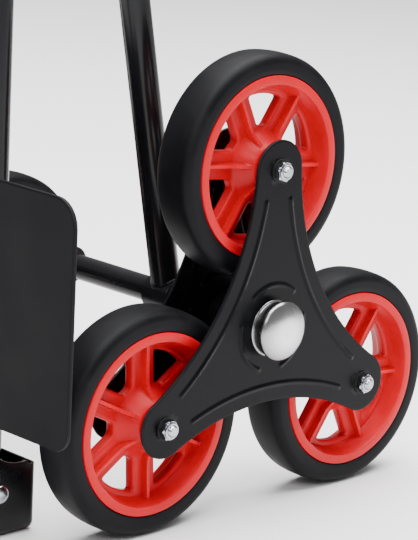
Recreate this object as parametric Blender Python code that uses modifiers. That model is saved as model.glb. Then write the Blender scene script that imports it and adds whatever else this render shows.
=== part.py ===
"""Folding stair-climbing shopping trolley: tube frame, folding toe plate and two three-wheel clusters.

Metres, +Z up, -Y is the front (toe plate side) and X runs across the trolley.
Lengths along Y are measured from the axle; the whole trolley hangs on one empty that puts the
origin on the ground in the middle of its footprint.
"""
import math

import bmesh
import bpy

# ---------------------------------------------------------------- driving dimensions (metres)
GAP = 0.0003                # clearance left between neighbouring pieces

WHEEL_RADIUS = 0.080
TYRE_WIDTH = 0.033
TYRE_SIDE_RADIUS = 0.073    # where the flat side wall turns into the shoulder
TYRE_SHOULDER = 0.0016
TYRE_CROWN = 0.0006
RIM_RADIUS = 0.0648
RIM_WIDTH = 0.034
RIM_LIP = 0.0068
RIM_DISH_RADIUS = 0.0540    # foot of the slope behind the lip
RIM_WEB = 0.009
RIM_FLARE_RADIUS = 0.026    # where the spokes start to rise towards the hub
RIM_HUB_RADIUS = 0.0155
RIM_BOSS_RADIUS = 0.009
WINDOW_INNER = 0.0273
WINDOW_OUTER = 0.0500
SPOKE_WIDTH = 0.0204
SPOKES = 6
RIDGE_WIDTH = 0.003         # the rib along the middle of each spoke
RIDGE_RISE = 0.0045
SPOKE_PHASE = {"upper": -5.0, "front": 33.2, "rear": -5.0}    # degrees each wheel has stopped at

CLUSTER_PITCH = 0.1125      # hub centre to wheel centre
CLUSTER_ARMS = (90, 210, 330)
WHEEL_TRACK = 0.403         # between the wheels' middle planes
STAR_THICKNESS = 0.0025
STAR_GAP = 0.0489           # clear space between the two star plates
STAR_END_RADIUS = 0.0215
STAR_WAIST = 0.054
SLEEVE_WALL = 0.0042

BOLT_RADIUS = 0.004
BOLT_HEAD_RADIUS = 0.0068
BOLT_HEAD_HEIGHT = 0.0053
BOLT_STICK_OUT = 0.0088     # shank end beyond the outer star plate
NUT_RADIUS = 0.0075
NUT_HEIGHT = 0.0065

AXLE_RADIUS = 0.0095
AXLE_WALL = 0.002
AXLE_STICK_OUT = 0.0075     # axle end beyond the outer star plate
CAP_RADIUS = 0.0216
CAP_NECK_RADIUS = 0.0190
CAP_NECK_LENGTH = 0.0090
CAP_DOME = 0.0072
CAP_FLANGE_RADIUS = 0.0200
CAP_FLANGE = 0.0006

TUBE_RADIUS = 0.011
TUBE_WALL = 0.0015
UPRIGHT_INSET = 0.0405      # from the tray's side to the uprights' and struts' axes
UPRIGHT_TOP = 0.895
GUSSET_REACH = 0.03735       # from an upright's axis back to its strut's pivot
JOINT_HEIGHT = 0.780        # height of the pivot that joins strut to gusset
STRUT_OVER_PIVOT = 0.018
SPACER_WALL = 0.003
ARM_FOOT_GAP = 0.0009       # between the axle and the foot of a tube whose eye it passes through
EYE_WALL = 0.0045
EYE_LENGTH = 0.026
CROSS_BAR_RADIUS = 0.0095
UPPER_BAR_HEIGHT = 0.520
GUSSET_THICKNESS = 0.003
GUSSET_RADIUS = 0.0125
RIVET_HEAD_RADIUS = 0.007
RIVET_HEAD_HEIGHT = 0.003

TRAY_SIDE_CLEAR = 0.00515   # between the hinge pins' heads and the turning wheel bolts
TRAY_DEPTH = 0.076
TRAY_SHEET = 0.0025
TRAY_BEND = 0.006
TRAY_REAR_HEIGHT = 0.048
TRAY_CHEEK_HEIGHT = 0.064
TRAY_DIP_HEIGHT = 0.051
TRAY_DIP_RADIUS = 0.030
TRAY_DIP_FROM_REAR = 0.0155
TRAY_STEP_FROM_REAR = 0.007
TRAY_DIP_ARC = (258, 315)   # degrees round its centre, starting at the step
TRAY_CROWN_FROM_REAR = 0.046
TRAY_CROWN_ARC = (115, 30)
TRAY_LIP_HEIGHT = 0.0193
HINGE_HEIGHT = 0.0314
HINGE_FROM_REAR = 0.0327    # hinge axis in front of the tray's rear face

TOE_THICKNESS = 0.003
TOE_OFFSET = 0.0088         # the plate's back face in front of the hinge axis
TOE_HALF_WIDTH = 0.2418
TOE_BOTTOM = 0.0829
TOE_TOP = 0.2521
TOE_TOP_RADIUS = 0.019
TOE_BOTTOM_RADIUS = 0.014
TOE_ROOT_RADIUS = 0.006
TOE_TONGUE_TAIL = 0.006     # tongue's lower edge below the hinge axis
TOE_EAR_RADIUS = 0.011
TOE_EAR_SHEET = 0.0025
PLATE_CLEAR = 0.0013        # between the turning clusters and the folded plate
PIN_RADIUS = 0.004
PIN_HEAD_RADIUS = 0.0066
PIN_HEAD_HEIGHT = 0.0035

HANDLE_RADIUS = 0.009
HANDLE_WALL = 0.0012
HANDLE_TOP = 1.000
HANDLE_FOOT = 0.580
HANDLE_BEND = 0.045
GRIP_LENGTH = 0.130
GRIP_WALL = 0.0055
COLLAR_WALL = 0.0036
COLLAR_OVER = 0.020         # collar above the upright's end
COLLAR_UNDER = 0.034
KNOB_RADIUS = 0.012
KNOB_FACE_RADIUS = 0.0096
KNOB_CHAMFER = 0.00325
KNOB_LENGTH = 0.013
KNOB_STEM_RADIUS = 0.003

WHEEL_STEPS = 28
TUBE_STEPS = 16
BOLT_STEPS = 12
CUT_MARGIN = 0.010          # how far a cutter runs past what it cuts

# ---------------------------------------------------------------- values worked out from them
HUB_HEIGHT = WHEEL_RADIUS + CLUSTER_PITCH * math.sin(math.radians(30))
TRACK_X = WHEEL_TRACK / 2
STAR_INNER_X = TRACK_X - STAR_GAP / 2      # outer face of the inner star plate
STAR_OUTER_X = TRACK_X + STAR_GAP / 2      # inner face of the outer star plate
STAR_FACE_X = STAR_OUTER_X + STAR_THICKNESS
BOLT_HEAD_X = STAR_INNER_X - STAR_THICKNESS - GAP - BOLT_HEAD_HEIGHT
TRAY_HALF = BOLT_HEAD_X - TRAY_SIDE_CLEAR - PIN_HEAD_HEIGHT - GAP
FRAME_X = TRAY_HALF - UPRIGHT_INSET
AXLE_BORE = AXLE_RADIUS + GAP
TOE_BACK_Y = -(CLUSTER_PITCH + WHEEL_RADIUS + PLATE_CLEAR)
HINGE_Y = TOE_BACK_Y + TOE_OFFSET
TRAY_REAR_Y = HINGE_Y + HINGE_FROM_REAR
TRAY_FRONT_Y = TRAY_REAR_Y - TRAY_DEPTH
UPRIGHT_Y = TRAY_REAR_Y - TRAY_SHEET - GAP - TUBE_RADIUS
PIVOT_Y = UPRIGHT_Y + GUSSET_REACH
STRUT_LEAN = math.atan(-PIVOT_Y / (JOINT_HEIGHT - HUB_HEIGHT))
REAR_REACH = CLUSTER_PITCH * math.cos(math.radians(30)) + WHEEL_RADIUS
ORIGIN_TO_AXLE = -(REAR_REACH + TRAY_FRONT_Y) / 2

ALONG_X = (math.pi / 2, 0, math.pi / 2)    # turns local x, y, z to world Y, Z, X
WHEEL_TURN = (math.pi / 2, -math.pi / WHEEL_STEPS, math.pi / 2)  # the same, standing on a facet
WHEEL_FACET = 1 / math.cos(math.pi / WHEEL_STEPS)


# ---------------------------------------------------------------- scene, materials and placing
def clear_scene():
    for obj in list(bpy.data.objects):
        bpy.data.objects.remove(obj, do_unlink=True)


def make_collection(name):
    collection = bpy.data.collections.new(name)
    bpy.context.scene.collection.children.link(collection)
    return collection


def make_material(name, colour, roughness, metallic):
    material = bpy.data.materials.new(name)
    material.use_nodes = True
    shader = material.node_tree.nodes["Principled BSDF"]
    shader.inputs["Base Color"].default_value = (*colour, 1)
    shader.inputs["Roughness"].default_value = roughness
    shader.inputs["Metallic"].default_value = metallic
    return material


def make_empty(name, location, parent=None, turn=0.0):
    empty = bpy.data.objects.new(name, None)
    empty.empty_display_size = 0.02
    empty.location = location
    empty.rotation_euler = (0, 0, turn)
    empty.parent = parent
    PARTS.objects.link(empty)
    return empty


def place(name, data, material, location=(0, 0, 0), rotation=(0, 0, 0), parent=None):
    """Puts mesh or curve data in the scene as one named piece."""
    piece = bpy.data.objects.new(name, data)
    piece.location = location
    piece.rotation_euler = rotation
    piece.parent = parent
    if material is None:
        piece.hide_render = True
        piece.display_type = "WIRE"
        CUTTERS.objects.link(piece)
    else:
        data.materials.append(material)
        PARTS.objects.link(piece)
    return piece


# ---------------------------------------------------------------- shapes
def turned(name, profile, steps, material, closed=False, **where):
    """A body of revolution about local z; the profile runs down its outer side as (radius, z)."""
    mesh = bpy.data.meshes.new(name)
    count = len(profile)
    edges = [(i, i + 1) for i in range(count - 1)]
    if closed:
        edges.append((count - 1, 0))
    mesh.from_pydata([(radius, 0, z) for radius, z in profile], edges, [])
    piece = place(name, mesh, material, **where)
    screw = piece.modifiers.new("turn", "SCREW")
    screw.steps = steps
    screw.render_steps = steps
    screw.use_merge_vertices = True
    screw.merge_threshold = 0.00005
    screw.use_smooth_shade = True
    return piece


def ring(name, outer, inner, low, high, steps, material, **where):
    """A straight round tube between two heights on local z."""
    profile = [(outer, high), (outer, low), (inner, low), (inner, high)]
    return turned(name, profile, steps, material, closed=True, **where)


def rod(name, radius, low, high, steps, material, **where):
    return turned(name, [(0, high), (radius, high), (radius, low), (0, low)], steps, material, **where)


def headed_pin(name, radius, head, low, high, material, two_heads=False, **where):
    """A pin with a head, given as (radius, height), at its low end or at both ends."""
    head_radius, head_height = head
    profile = [(0, high)]
    if two_heads:
        profile += [(head_radius, high), (head_radius, high - head_height)]
        profile += [(radius, high - head_height)]
    else:
        profile += [(radius, high)]
    profile += [(radius, low + head_height), (head_radius, low + head_height)]
    profile += [(head_radius, low), (0, low)]
    return turned(name, profile, BOLT_STEPS, material, **where)


def flat(name, outlines, thickness, material, **where):
    """A flat sheet from closed outlines in local x, y; the first is the edge, the rest are holes."""
    curve = bpy.data.curves.new(name, "CURVE")
    curve.dimensions = "2D"
    curve.fill_mode = "BOTH"
    curve.extrude = thickness / 2
    for outline in outlines:
        spline = curve.splines.new("POLY")
        spline.points.add(len(outline) - 1)
        for point, (x, y) in zip(spline.points, outline):
            point.co = (x, y, 0, 1)
        spline.use_cyclic_u = True
    return place(name, curve, material, **where)


def bent_tube(name, points, radius, wall, material, **where):
    """A hollow tube along a path of points, open at both ends."""
    curve = bpy.data.curves.new(name, "CURVE")
    curve.dimensions = "3D"
    curve.bevel_depth = radius
    curve.bevel_resolution = 4
    spline = curve.splines.new("POLY")
    spline.points.add(len(points) - 1)
    for point, spot in zip(spline.points, points):
        point.co = (*spot, 1)
    piece = place(name, curve, material, **where)
    shell = piece.modifiers.new("wall", "SOLIDIFY")
    shell.thickness = wall
    shell.offset = -1
    return piece


def box(name, low, high, material, bevel=0.0, **where):
    """A block between two corners, its edges rounded if bevel is given."""
    mesh = bpy.data.meshes.new(name)
    block = bmesh.new()
    bmesh.ops.create_cube(block, size=1)
    for vertex in block.verts:
        vertex.co = [a + (c + 0.5) * (b - a) for a, b, c in zip(low, high, vertex.co)]
    block.to_mesh(mesh)
    block.free()
    piece = place(name, mesh, material, **where)
    if bevel:
        rounding = piece.modifiers.new("bends", "BEVEL")
        rounding.width = bevel
        rounding.segments = 3
    return piece


def as_mesh(piece):
    """Replaces a curve piece by the mesh it makes, so that it can be cut or joined."""
    bpy.context.view_layer.update()
    evaluated = piece.evaluated_get(bpy.context.evaluated_depsgraph_get())
    mesh = bpy.data.meshes.new_from_object(evaluated)
    welded = bmesh.new()
    welded.from_mesh(mesh)
    bmesh.ops.remove_doubles(welded, verts=welded.verts, dist=0.00001)
    bmesh.ops.dissolve_limit(welded, angle_limit=math.radians(0.5), verts=welded.verts,
                             edges=welded.edges)
    welded.to_mesh(mesh)
    welded.free()
    name = piece.name
    collection = piece.users_collection[0]
    solid = bpy.data.objects.new(name, mesh)
    solid.hide_render = piece.hide_render
    solid.display_type = piece.display_type
    collection.objects.link(solid)
    solid.parent = piece.parent
    solid.matrix_basis = piece.matrix_basis
    bpy.data.objects.remove(piece, do_unlink=True)
    solid.name = name
    return solid


def combine(piece, other, operation):
    boolean = piece.modifiers.new(other.name, "BOOLEAN")
    boolean.operation = operation
    boolean.solver = "EXACT"
    boolean.use_self = operation == "UNION"
    boolean.object = other


def arc(centre, radius, start, end, steps):
    """Points on an arc from one angle to another, in degrees, both ends included."""
    points = []
    for step in range(steps + 1):
        angle = math.radians(start + (end - start) * step / steps)
        points.append((centre[0] + radius * math.cos(angle), centre[1] + radius * math.sin(angle)))
    return points


def circle(centre, radius, steps):
    return arc(centre, radius, 0, 360, steps)[:-1]


def rounded(corners, steps=4):
    """A closed outline from (x, y, radius) corners, each turned with its own radius."""
    points = []
    for index, (x, y, radius) in enumerate(corners):
        if radius == 0:
            points.append((x, y))
            continue
        before = corners[index - 1]
        after = corners[(index + 1) % len(corners)]
        ax, ay = before[0] - x, before[1] - y
        bx, by = after[0] - x, after[1] - y
        a_len = math.hypot(ax, ay)
        b_len = math.hypot(bx, by)
        half = math.acos((ax * bx + ay * by) / (a_len * b_len)) / 2
        run = radius / math.tan(half)
        mid_x, mid_y = ax / a_len + bx / b_len, ay / a_len + by / b_len
        mid_len = math.hypot(mid_x, mid_y)
        reach = radius / math.sin(half)
        centre = (x + mid_x / mid_len * reach, y + mid_y / mid_len * reach)
        first = (x + ax / a_len * run, y + ay / a_len * run)
        last = (x + bx / b_len * run, y + by / b_len * run)
        start = math.degrees(math.atan2(first[1] - centre[1], first[0] - centre[0]))
        end = math.degrees(math.atan2(last[1] - centre[1], last[0] - centre[0]))
        turn = (end - start + 180) % 360 - 180
        points += arc(centre, radius, start, start + turn, steps)
    return points


# ---------------------------------------------------------------- wheels
def add_tyre(name, centre, parent):
    half = TYRE_WIDTH / 2
    shoulder_radius = WHEEL_RADIUS - TYRE_CROWN - TYRE_SHOULDER
    tread_radius = WHEEL_RADIUS - TYRE_CROWN
    side = [(TYRE_SIDE_RADIUS, half), (shoulder_radius, half - TYRE_SHOULDER),
            (tread_radius, half - 4 * TYRE_SHOULDER)]
    bore = RIM_RADIUS + GAP
    profile = side + [(WHEEL_RADIUS, 0)] + [(radius, -z) for radius, z in reversed(side)]
    profile = [(radius * WHEEL_FACET, z) for radius, z in profile]
    profile += [(bore, -half), (bore, half)]
    return turned(name, profile, WHEEL_STEPS, RUBBER, closed=True, location=centre,
                  rotation=WHEEL_TURN, parent=parent)


def window_outline(angle):
    """One opening between two spokes: its sides run parallel to the spokes."""
    half_pitch = math.pi / SPOKES
    start = half_pitch - math.asin(SPOKE_WIDTH / 2 / WINDOW_OUTER)
    inner = half_pitch - math.asin(SPOKE_WIDTH / 2 / WINDOW_INNER)
    points = arc((0, 0), WINDOW_OUTER, angle - math.degrees(start), angle + math.degrees(start), 3)
    points += arc((0, 0), WINDOW_INNER, angle + math.degrees(inner), angle - math.degrees(inner), 1)
    return points


def add_window_cutter():
    outlines = [window_outline(360 * (i + 0.5) / SPOKES) for i in range(SPOKES)]
    cutter = flat("window_cutter", outlines, RIM_WIDTH, None)
    return as_mesh(cutter).data


def add_ridges():
    """The ribs of all the spokes, each running from inside the hub to inside the dish's slope."""
    low = RIM_HUB_RADIUS - RIDGE_WIDTH
    high = (RIM_DISH_RADIUS + RIM_RADIUS - RIM_LIP) / 2 + GAP
    half = RIDGE_WIDTH / 2
    outlines = []
    for spoke in range(SPOKES):
        turn = 2 * math.pi * spoke / SPOKES
        cos, sin = math.cos(turn), math.sin(turn)
        corners = [(low, -half), (high, -half), (high, half), (low, half)]
        outlines.append([(x * cos - y * sin, x * sin + y * cos) for x, y in corners])
    ridges = flat("spoke_ridges", outlines, RIM_WEB + 2 * RIDGE_RISE, None)
    return as_mesh(ridges).data


def add_rim(name, centre, phase, parent):
    half = RIM_WIDTH / 2
    lip = RIM_RADIUS - RIM_LIP
    web = RIM_WEB / 2
    hub = STAR_GAP / 2 - GAP
    bore = BOLT_RADIUS + GAP
    side = [(lip, half), (RIM_DISH_RADIUS, web), (RIM_FLARE_RADIUS, web), (RIM_HUB_RADIUS, half)]
    side += [(RIM_BOSS_RADIUS, half), (RIM_BOSS_RADIUS, hub), (bore, hub)]
    profile = [(RIM_RADIUS, half), (RIM_RADIUS, -half)] + [(radius, -z) for radius, z in side]
    profile += reversed(side)
    rim = turned(name, profile, WHEEL_STEPS, RED, closed=True, location=centre,
                 rotation=WHEEL_TURN, parent=parent)
    stopped_at = (ALONG_X[0], -math.radians(phase), ALONG_X[2])
    for part, data, operation in (("_windows", WINDOWS, "DIFFERENCE"), ("_ridges", RIDGES, "UNION")):
        other = place(name + part, data, None, location=centre, rotation=stopped_at, parent=parent)
        combine(rim, other, operation)
    return rim


def add_wheel_bolt(name, centre, parent):
    low = -STAR_GAP / 2 - STAR_THICKNESS - GAP - BOLT_HEAD_HEIGHT
    high = STAR_GAP / 2 + STAR_THICKNESS + BOLT_STICK_OUT
    return headed_pin(name, BOLT_RADIUS, (BOLT_HEAD_RADIUS, BOLT_HEAD_HEIGHT), low, high, ZINC,
                      location=centre, rotation=ALONG_X, parent=parent)


def add_wheel_nut(name, centre, parent):
    low = STAR_GAP / 2 + STAR_THICKNESS + GAP
    bore = (BOLT_RADIUS + GAP) / math.cos(math.pi / 6)
    return ring(name, NUT_RADIUS, bore, low, low + NUT_HEIGHT, 6, ZINC,
                location=centre, rotation=ALONG_X, parent=parent)


# ---------------------------------------------------------------- clusters
def star_outline():
    """Three round arm ends joined by hollow sides that touch them and narrow to the waist."""
    reach = CLUSTER_PITCH ** 2 + STAR_WAIST ** 2 - CLUSTER_PITCH * STAR_WAIST
    hollow = (reach - STAR_END_RADIUS ** 2) / (CLUSTER_PITCH + 2 * (STAR_END_RADIUS - STAR_WAIST))
    far = STAR_WAIST + hollow
    # the direction from an arm end's centre to the hollow side's centre
    rise = far * math.sin(math.radians(60))
    run = far * math.cos(math.radians(60)) - CLUSTER_PITCH
    aim = math.degrees(math.atan2(rise, run))
    points = []
    for arm in CLUSTER_ARMS:
        direction = math.radians(arm)
        centre = (CLUSTER_PITCH * math.cos(direction), CLUSTER_PITCH * math.sin(direction))
        points += arc(centre, STAR_END_RADIUS, arm - aim, arm + aim, 8)
        middle = math.radians(arm + 60)
        hollow_centre = (far * math.cos(middle), far * math.sin(middle))
        start = arm + aim + 180
        sweep = 2 * (arm + 60 + 180 - start)
        points += arc(hollow_centre, hollow, start, start + sweep, 6)[1:-1]
    return points


def add_star(name, low_x, parent):
    holes = [circle((CLUSTER_PITCH * math.cos(math.radians(arm)),
                     CLUSTER_PITCH * math.sin(math.radians(arm))), BOLT_RADIUS + GAP, BOLT_STEPS)
             for arm in CLUSTER_ARMS]
    holes.append(circle((0, 0), AXLE_BORE, TUBE_STEPS))
    return flat(name, [star_outline()] + holes, STAR_THICKNESS, BLACK_STEEL,
                location=(low_x + STAR_THICKNESS / 2, 0, 0), rotation=ALONG_X, parent=parent)


def add_cluster(side, turn, trolley):
    """One side's cluster, in the same local places on both sides: the left is the right turned round."""
    hub = make_empty("cluster_" + side + "_axis", (0, 0, HUB_HEIGHT), trolley, turn)
    add_star("star_plate_outer_" + side, STAR_OUTER_X, hub)
    add_star("star_plate_inner_" + side, STAR_INNER_X - STAR_THICKNESS, hub)
    ring("hub_sleeve_" + side, AXLE_BORE + SLEEVE_WALL, AXLE_BORE, STAR_INNER_X + GAP,
         STAR_OUTER_X - GAP, TUBE_STEPS, BLACK_STEEL, rotation=ALONG_X, parent=hub)
    for arm in CLUSTER_ARMS:
        along = CLUSTER_PITCH * math.cos(math.radians(arm))
        height = CLUSTER_PITCH * math.sin(math.radians(arm))
        centre = (TRACK_X, along, height)
        to_front = along * math.cos(turn) < 0
        seat = "upper" if height > 0 else "front" if to_front else "rear"
        tag = seat + "_" + side
        add_tyre("tyre_" + tag, centre, hub)
        add_rim("rim_" + tag, centre, SPOKE_PHASE[seat], hub)
        add_wheel_bolt("wheel_bolt_" + tag, centre, hub)
        add_wheel_nut("wheel_nut_" + tag, centre, hub)


# ---------------------------------------------------------------- axle
def add_axle(trolley):
    end = STAR_FACE_X + AXLE_STICK_OUT
    ring("axle_tube", AXLE_RADIUS, AXLE_RADIUS - AXLE_WALL, -end, end, TUBE_STEPS, BLACK_STEEL,
         location=(0, 0, HUB_HEIGHT), rotation=ALONG_X, parent=trolley)


def add_hub_cap(side, turn, trolley):
    face = STAR_FACE_X + GAP
    shoulder = face + CAP_NECK_LENGTH
    bore_end = STAR_FACE_X + AXLE_STICK_OUT + GAP
    profile = []
    for step in range(6):
        angle = math.radians(90 - 15 * step)
        profile.append((CAP_RADIUS * math.cos(angle), shoulder + CAP_DOME * math.sin(angle)))
    profile[0] = (0, shoulder + CAP_DOME)
    profile += [(CAP_RADIUS, shoulder), (CAP_NECK_RADIUS, shoulder)]
    profile += [(CAP_NECK_RADIUS, face + CAP_FLANGE), (CAP_FLANGE_RADIUS, face + CAP_FLANGE)]
    profile += [(CAP_FLANGE_RADIUS, face), (AXLE_BORE, face), (AXLE_BORE, bore_end), (0, bore_end)]
    hub = make_empty("cap_" + side + "_axis", (0, 0, HUB_HEIGHT), trolley, turn)
    turned("hub_cap_" + side, profile, 24, CHROME, rotation=ALONG_X, parent=hub)


def add_axle_spacer(side, turn, trolley):
    hub = make_empty("spacer_" + side + "_axis", (0, 0, HUB_HEIGHT), trolley, turn)
    low = FRAME_X + EYE_LENGTH / 2 + GAP
    high = STAR_INNER_X - STAR_THICKNESS - GAP
    ring("axle_spacer_" + side, AXLE_BORE + SPACER_WALL, AXLE_BORE, low, high, TUBE_STEPS,
         BLACK_STEEL, rotation=ALONG_X, parent=hub)


# ---------------------------------------------------------------- frame
def add_arm_on_axle(name, x, lean, length, radius, trolley):
    """A tube whose foot is an eye round the axle; lean turns it forward from upright."""
    centre = (x, 0, HUB_HEIGHT)
    eye_radius = AXLE_BORE + EYE_WALL
    arm = ring(name, radius, radius - TUBE_WALL, AXLE_BORE + ARM_FOOT_GAP, length, TUBE_STEPS,
               BLACK_STEEL, location=centre, rotation=(lean, 0, 0), parent=trolley)
    eye = ring(name + "_eye", eye_radius, AXLE_BORE, -EYE_LENGTH / 2, EYE_LENGTH / 2, TUBE_STEPS,
               None, location=centre, rotation=ALONG_X, parent=trolley)
    combine(arm, eye, "UNION")
    return arm


def add_strut(side, sign, trolley):
    pivot = (JOINT_HEIGHT - HUB_HEIGHT) / math.cos(STRUT_LEAN)
    length = pivot + STRUT_OVER_PIVOT
    x = sign * FRAME_X
    strut = add_arm_on_axle("rear_strut_" + side, x, STRUT_LEAN, length, TUBE_RADIUS, trolley)
    hole = rod("strut_hole_" + side, BOLT_RADIUS + GAP, -2 * TUBE_RADIUS, 2 * TUBE_RADIUS,
               BOLT_STEPS, None, location=(x, PIVOT_Y, JOINT_HEIGHT), rotation=ALONG_X,
               parent=trolley)
    combine(strut, hole, "DIFFERENCE")


def add_gusset(side, sign, turn, trolley):
    """The side plate welded to the upright that the strut's top is riveted to."""
    face = TUBE_RADIUS + GAP
    front = (UPRIGHT_Y, JOINT_HEIGHT)
    rear = (PIVOT_Y, JOINT_HEIGHT)
    outline = arc(rear, GUSSET_RADIUS, -90, 90, 8) + arc(front, GUSSET_RADIUS, 90, 270, 8)
    hole = circle(rear, BOLT_RADIUS + GAP, BOLT_STEPS)
    x = sign * (FRAME_X + face + GUSSET_THICKNESS / 2)
    flat("strut_gusset_" + side, [outline, hole], GUSSET_THICKNESS, BLACK_STEEL,
         location=(x, 0, 0), rotation=ALONG_X, parent=trolley)
    low = -face - RIVET_HEAD_HEIGHT
    high = face + GUSSET_THICKNESS + GAP + RIVET_HEAD_HEIGHT
    spot = make_empty("strut_rivet_" + side + "_axis", (sign * FRAME_X, PIVOT_Y, JOINT_HEIGHT),
                      trolley, turn)
    headed_pin("strut_rivet_" + side, BOLT_RADIUS, (RIVET_HEAD_RADIUS, RIVET_HEAD_HEIGHT), low,
               high, ZINC, two_heads=True, rotation=ALONG_X, parent=spot)


def add_uprights_and_bars(trolley):
    for side, sign in (("left", -1), ("right", 1)):
        ring("upright_" + side, TUBE_RADIUS, TUBE_RADIUS - TUBE_WALL, TRAY_BEND + GAP,
             UPRIGHT_TOP, TUBE_STEPS, BLACK_STEEL,
             location=(sign * FRAME_X, UPRIGHT_Y, 0), parent=trolley)
    reach = FRAME_X - TUBE_RADIUS - GAP
    for name, height in (("lower_cross_bar", HUB_HEIGHT), ("upper_cross_bar", UPPER_BAR_HEIGHT)):
        ring(name, CROSS_BAR_RADIUS, CROSS_BAR_RADIUS - TUBE_WALL, -reach, reach, TUBE_STEPS,
             BLACK_STEEL, location=(0, UPRIGHT_Y, height), rotation=ALONG_X, parent=trolley)
    stay_length = -UPRIGHT_Y - CROSS_BAR_RADIUS - GAP
    add_arm_on_axle("centre_stay", 0, math.pi / 2, stay_length, TUBE_RADIUS, trolley)


def cheek_profile():
    """The tray's side view as (forward distance from the rear face, height)."""
    before = -CUT_MARGIN
    beyond = TRAY_DEPTH + CUT_MARGIN
    points = [(before, before), (before, TRAY_REAR_HEIGHT), (TRAY_STEP_FROM_REAR, TRAY_REAR_HEIGHT)]
    dip_centre = (TRAY_DIP_FROM_REAR, TRAY_DIP_HEIGHT + TRAY_DIP_RADIUS)
    points += arc(dip_centre, TRAY_DIP_RADIUS, *TRAY_DIP_ARC, 6)
    crown_radius = TRAY_CHEEK_HEIGHT - TRAY_DIP_HEIGHT
    points += arc((TRAY_CROWN_FROM_REAR, TRAY_DIP_HEIGHT), crown_radius, *TRAY_CROWN_ARC, 5)
    points += [(TRAY_DEPTH - 2 * TRAY_BEND, TRAY_LIP_HEIGHT)]
    points += [(beyond, TRAY_LIP_HEIGHT), (beyond, before)]
    return points


def add_tray(trolley):
    """The pressed foot that the uprights stand in: base, rear wall, two cheeks and a front lip."""
    above = TRAY_CHEEK_HEIGHT + 2 * CUT_MARGIN
    tray = box("foot_tray", (-TRAY_HALF, TRAY_FRONT_Y, 0), (TRAY_HALF, TRAY_REAR_Y, above), BLACK_STEEL,
               bevel=TRAY_BEND, parent=trolley)
    pocket = box("tray_pocket", (-TRAY_HALF + TRAY_SHEET, TRAY_FRONT_Y + TRAY_SHEET, TRAY_SHEET),
                 (TRAY_HALF - TRAY_SHEET, TRAY_REAR_Y - TRAY_SHEET, above + CUT_MARGIN), None,
                 bevel=TRAY_BEND - TRAY_SHEET, parent=trolley)
    combine(tray, pocket, "DIFFERENCE")
    outline = [(TRAY_REAR_Y - forward, height) for forward, height in cheek_profile()]
    profile = flat("tray_side_view", [outline], 2 * (TRAY_HALF + CUT_MARGIN), None,
                   rotation=ALONG_X, parent=trolley)
    combine(tray, as_mesh(profile), "INTERSECT")
    reach = TRAY_HALF + CUT_MARGIN
    hole = rod("tray_pin_holes", PIN_RADIUS + GAP, -reach, reach, BOLT_STEPS, None,
               location=(0, HINGE_Y, HINGE_HEIGHT), rotation=ALONG_X, parent=trolley)
    combine(tray, hole, "DIFFERENCE")


# ---------------------------------------------------------------- toe plate
def add_toe_plate(trolley):
    """The folding load plate, folded up against the tray, with an ear round each hinge pin."""
    tongue = TRAY_HALF - TRAY_SHEET - GAP
    top = TOE_TOP - HINGE_HEIGHT
    bottom = TOE_BOTTOM - HINGE_HEIGHT
    right = [(tongue, -TOE_TONGUE_TAIL, 0), (tongue, bottom, TOE_ROOT_RADIUS),
             (TOE_HALF_WIDTH, bottom, TOE_BOTTOM_RADIUS), (TOE_HALF_WIDTH, top, TOE_TOP_RADIUS)]
    left = [(-x, y, radius) for x, y, radius in reversed(right)]
    sheet_y = HINGE_Y - TOE_OFFSET - TOE_THICKNESS / 2
    plate = flat("toe_plate", [rounded(right + left)], TOE_THICKNESS, TOE_STEEL,
                 location=(0, sheet_y, HINGE_HEIGHT), rotation=(math.pi / 2, 0, 0),
                 parent=trolley)
    plate = as_mesh(plate)
    into_sheet = TOE_OFFSET + TOE_THICKNESS / 2
    ear_top = 2 * TOE_EAR_RADIUS
    ear = arc((0, 0), TOE_EAR_RADIUS, -90, 60, 8)
    ear_foot = -TOE_TONGUE_TAIL + TOE_EAR_SHEET
    ear += [(-into_sheet, ear_top), (-into_sheet, ear_foot), (-TOE_OFFSET + GAP, ear_foot)]
    for side, sign in (("left", -1), ("right", 1)):
        x = sign * (tongue - GAP - TOE_EAR_SHEET / 2)
        hole = circle((0, 0), PIN_RADIUS + GAP, BOLT_STEPS)
        flange = flat("toe_ear_" + side, [ear, hole], TOE_EAR_SHEET, None,
                      location=(x, HINGE_Y, HINGE_HEIGHT), rotation=ALONG_X, parent=trolley)
        combine(plate, as_mesh(flange), "UNION")


def add_hinge_pin(side, turn, trolley):
    spot = make_empty("toe_hinge_" + side, (0, HINGE_Y, HINGE_HEIGHT), trolley, turn)
    tongue_inside = TRAY_HALF - TRAY_SHEET - 2 * GAP - TOE_EAR_SHEET
    headed_pin("toe_hinge_pin_" + side, PIN_RADIUS, (PIN_HEAD_RADIUS, PIN_HEAD_HEIGHT),
               tongue_inside - GAP - PIN_HEAD_HEIGHT, TRAY_HALF + GAP + PIN_HEAD_HEIGHT, ZINC,
               two_heads=True, rotation=ALONG_X, parent=spot)


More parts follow.
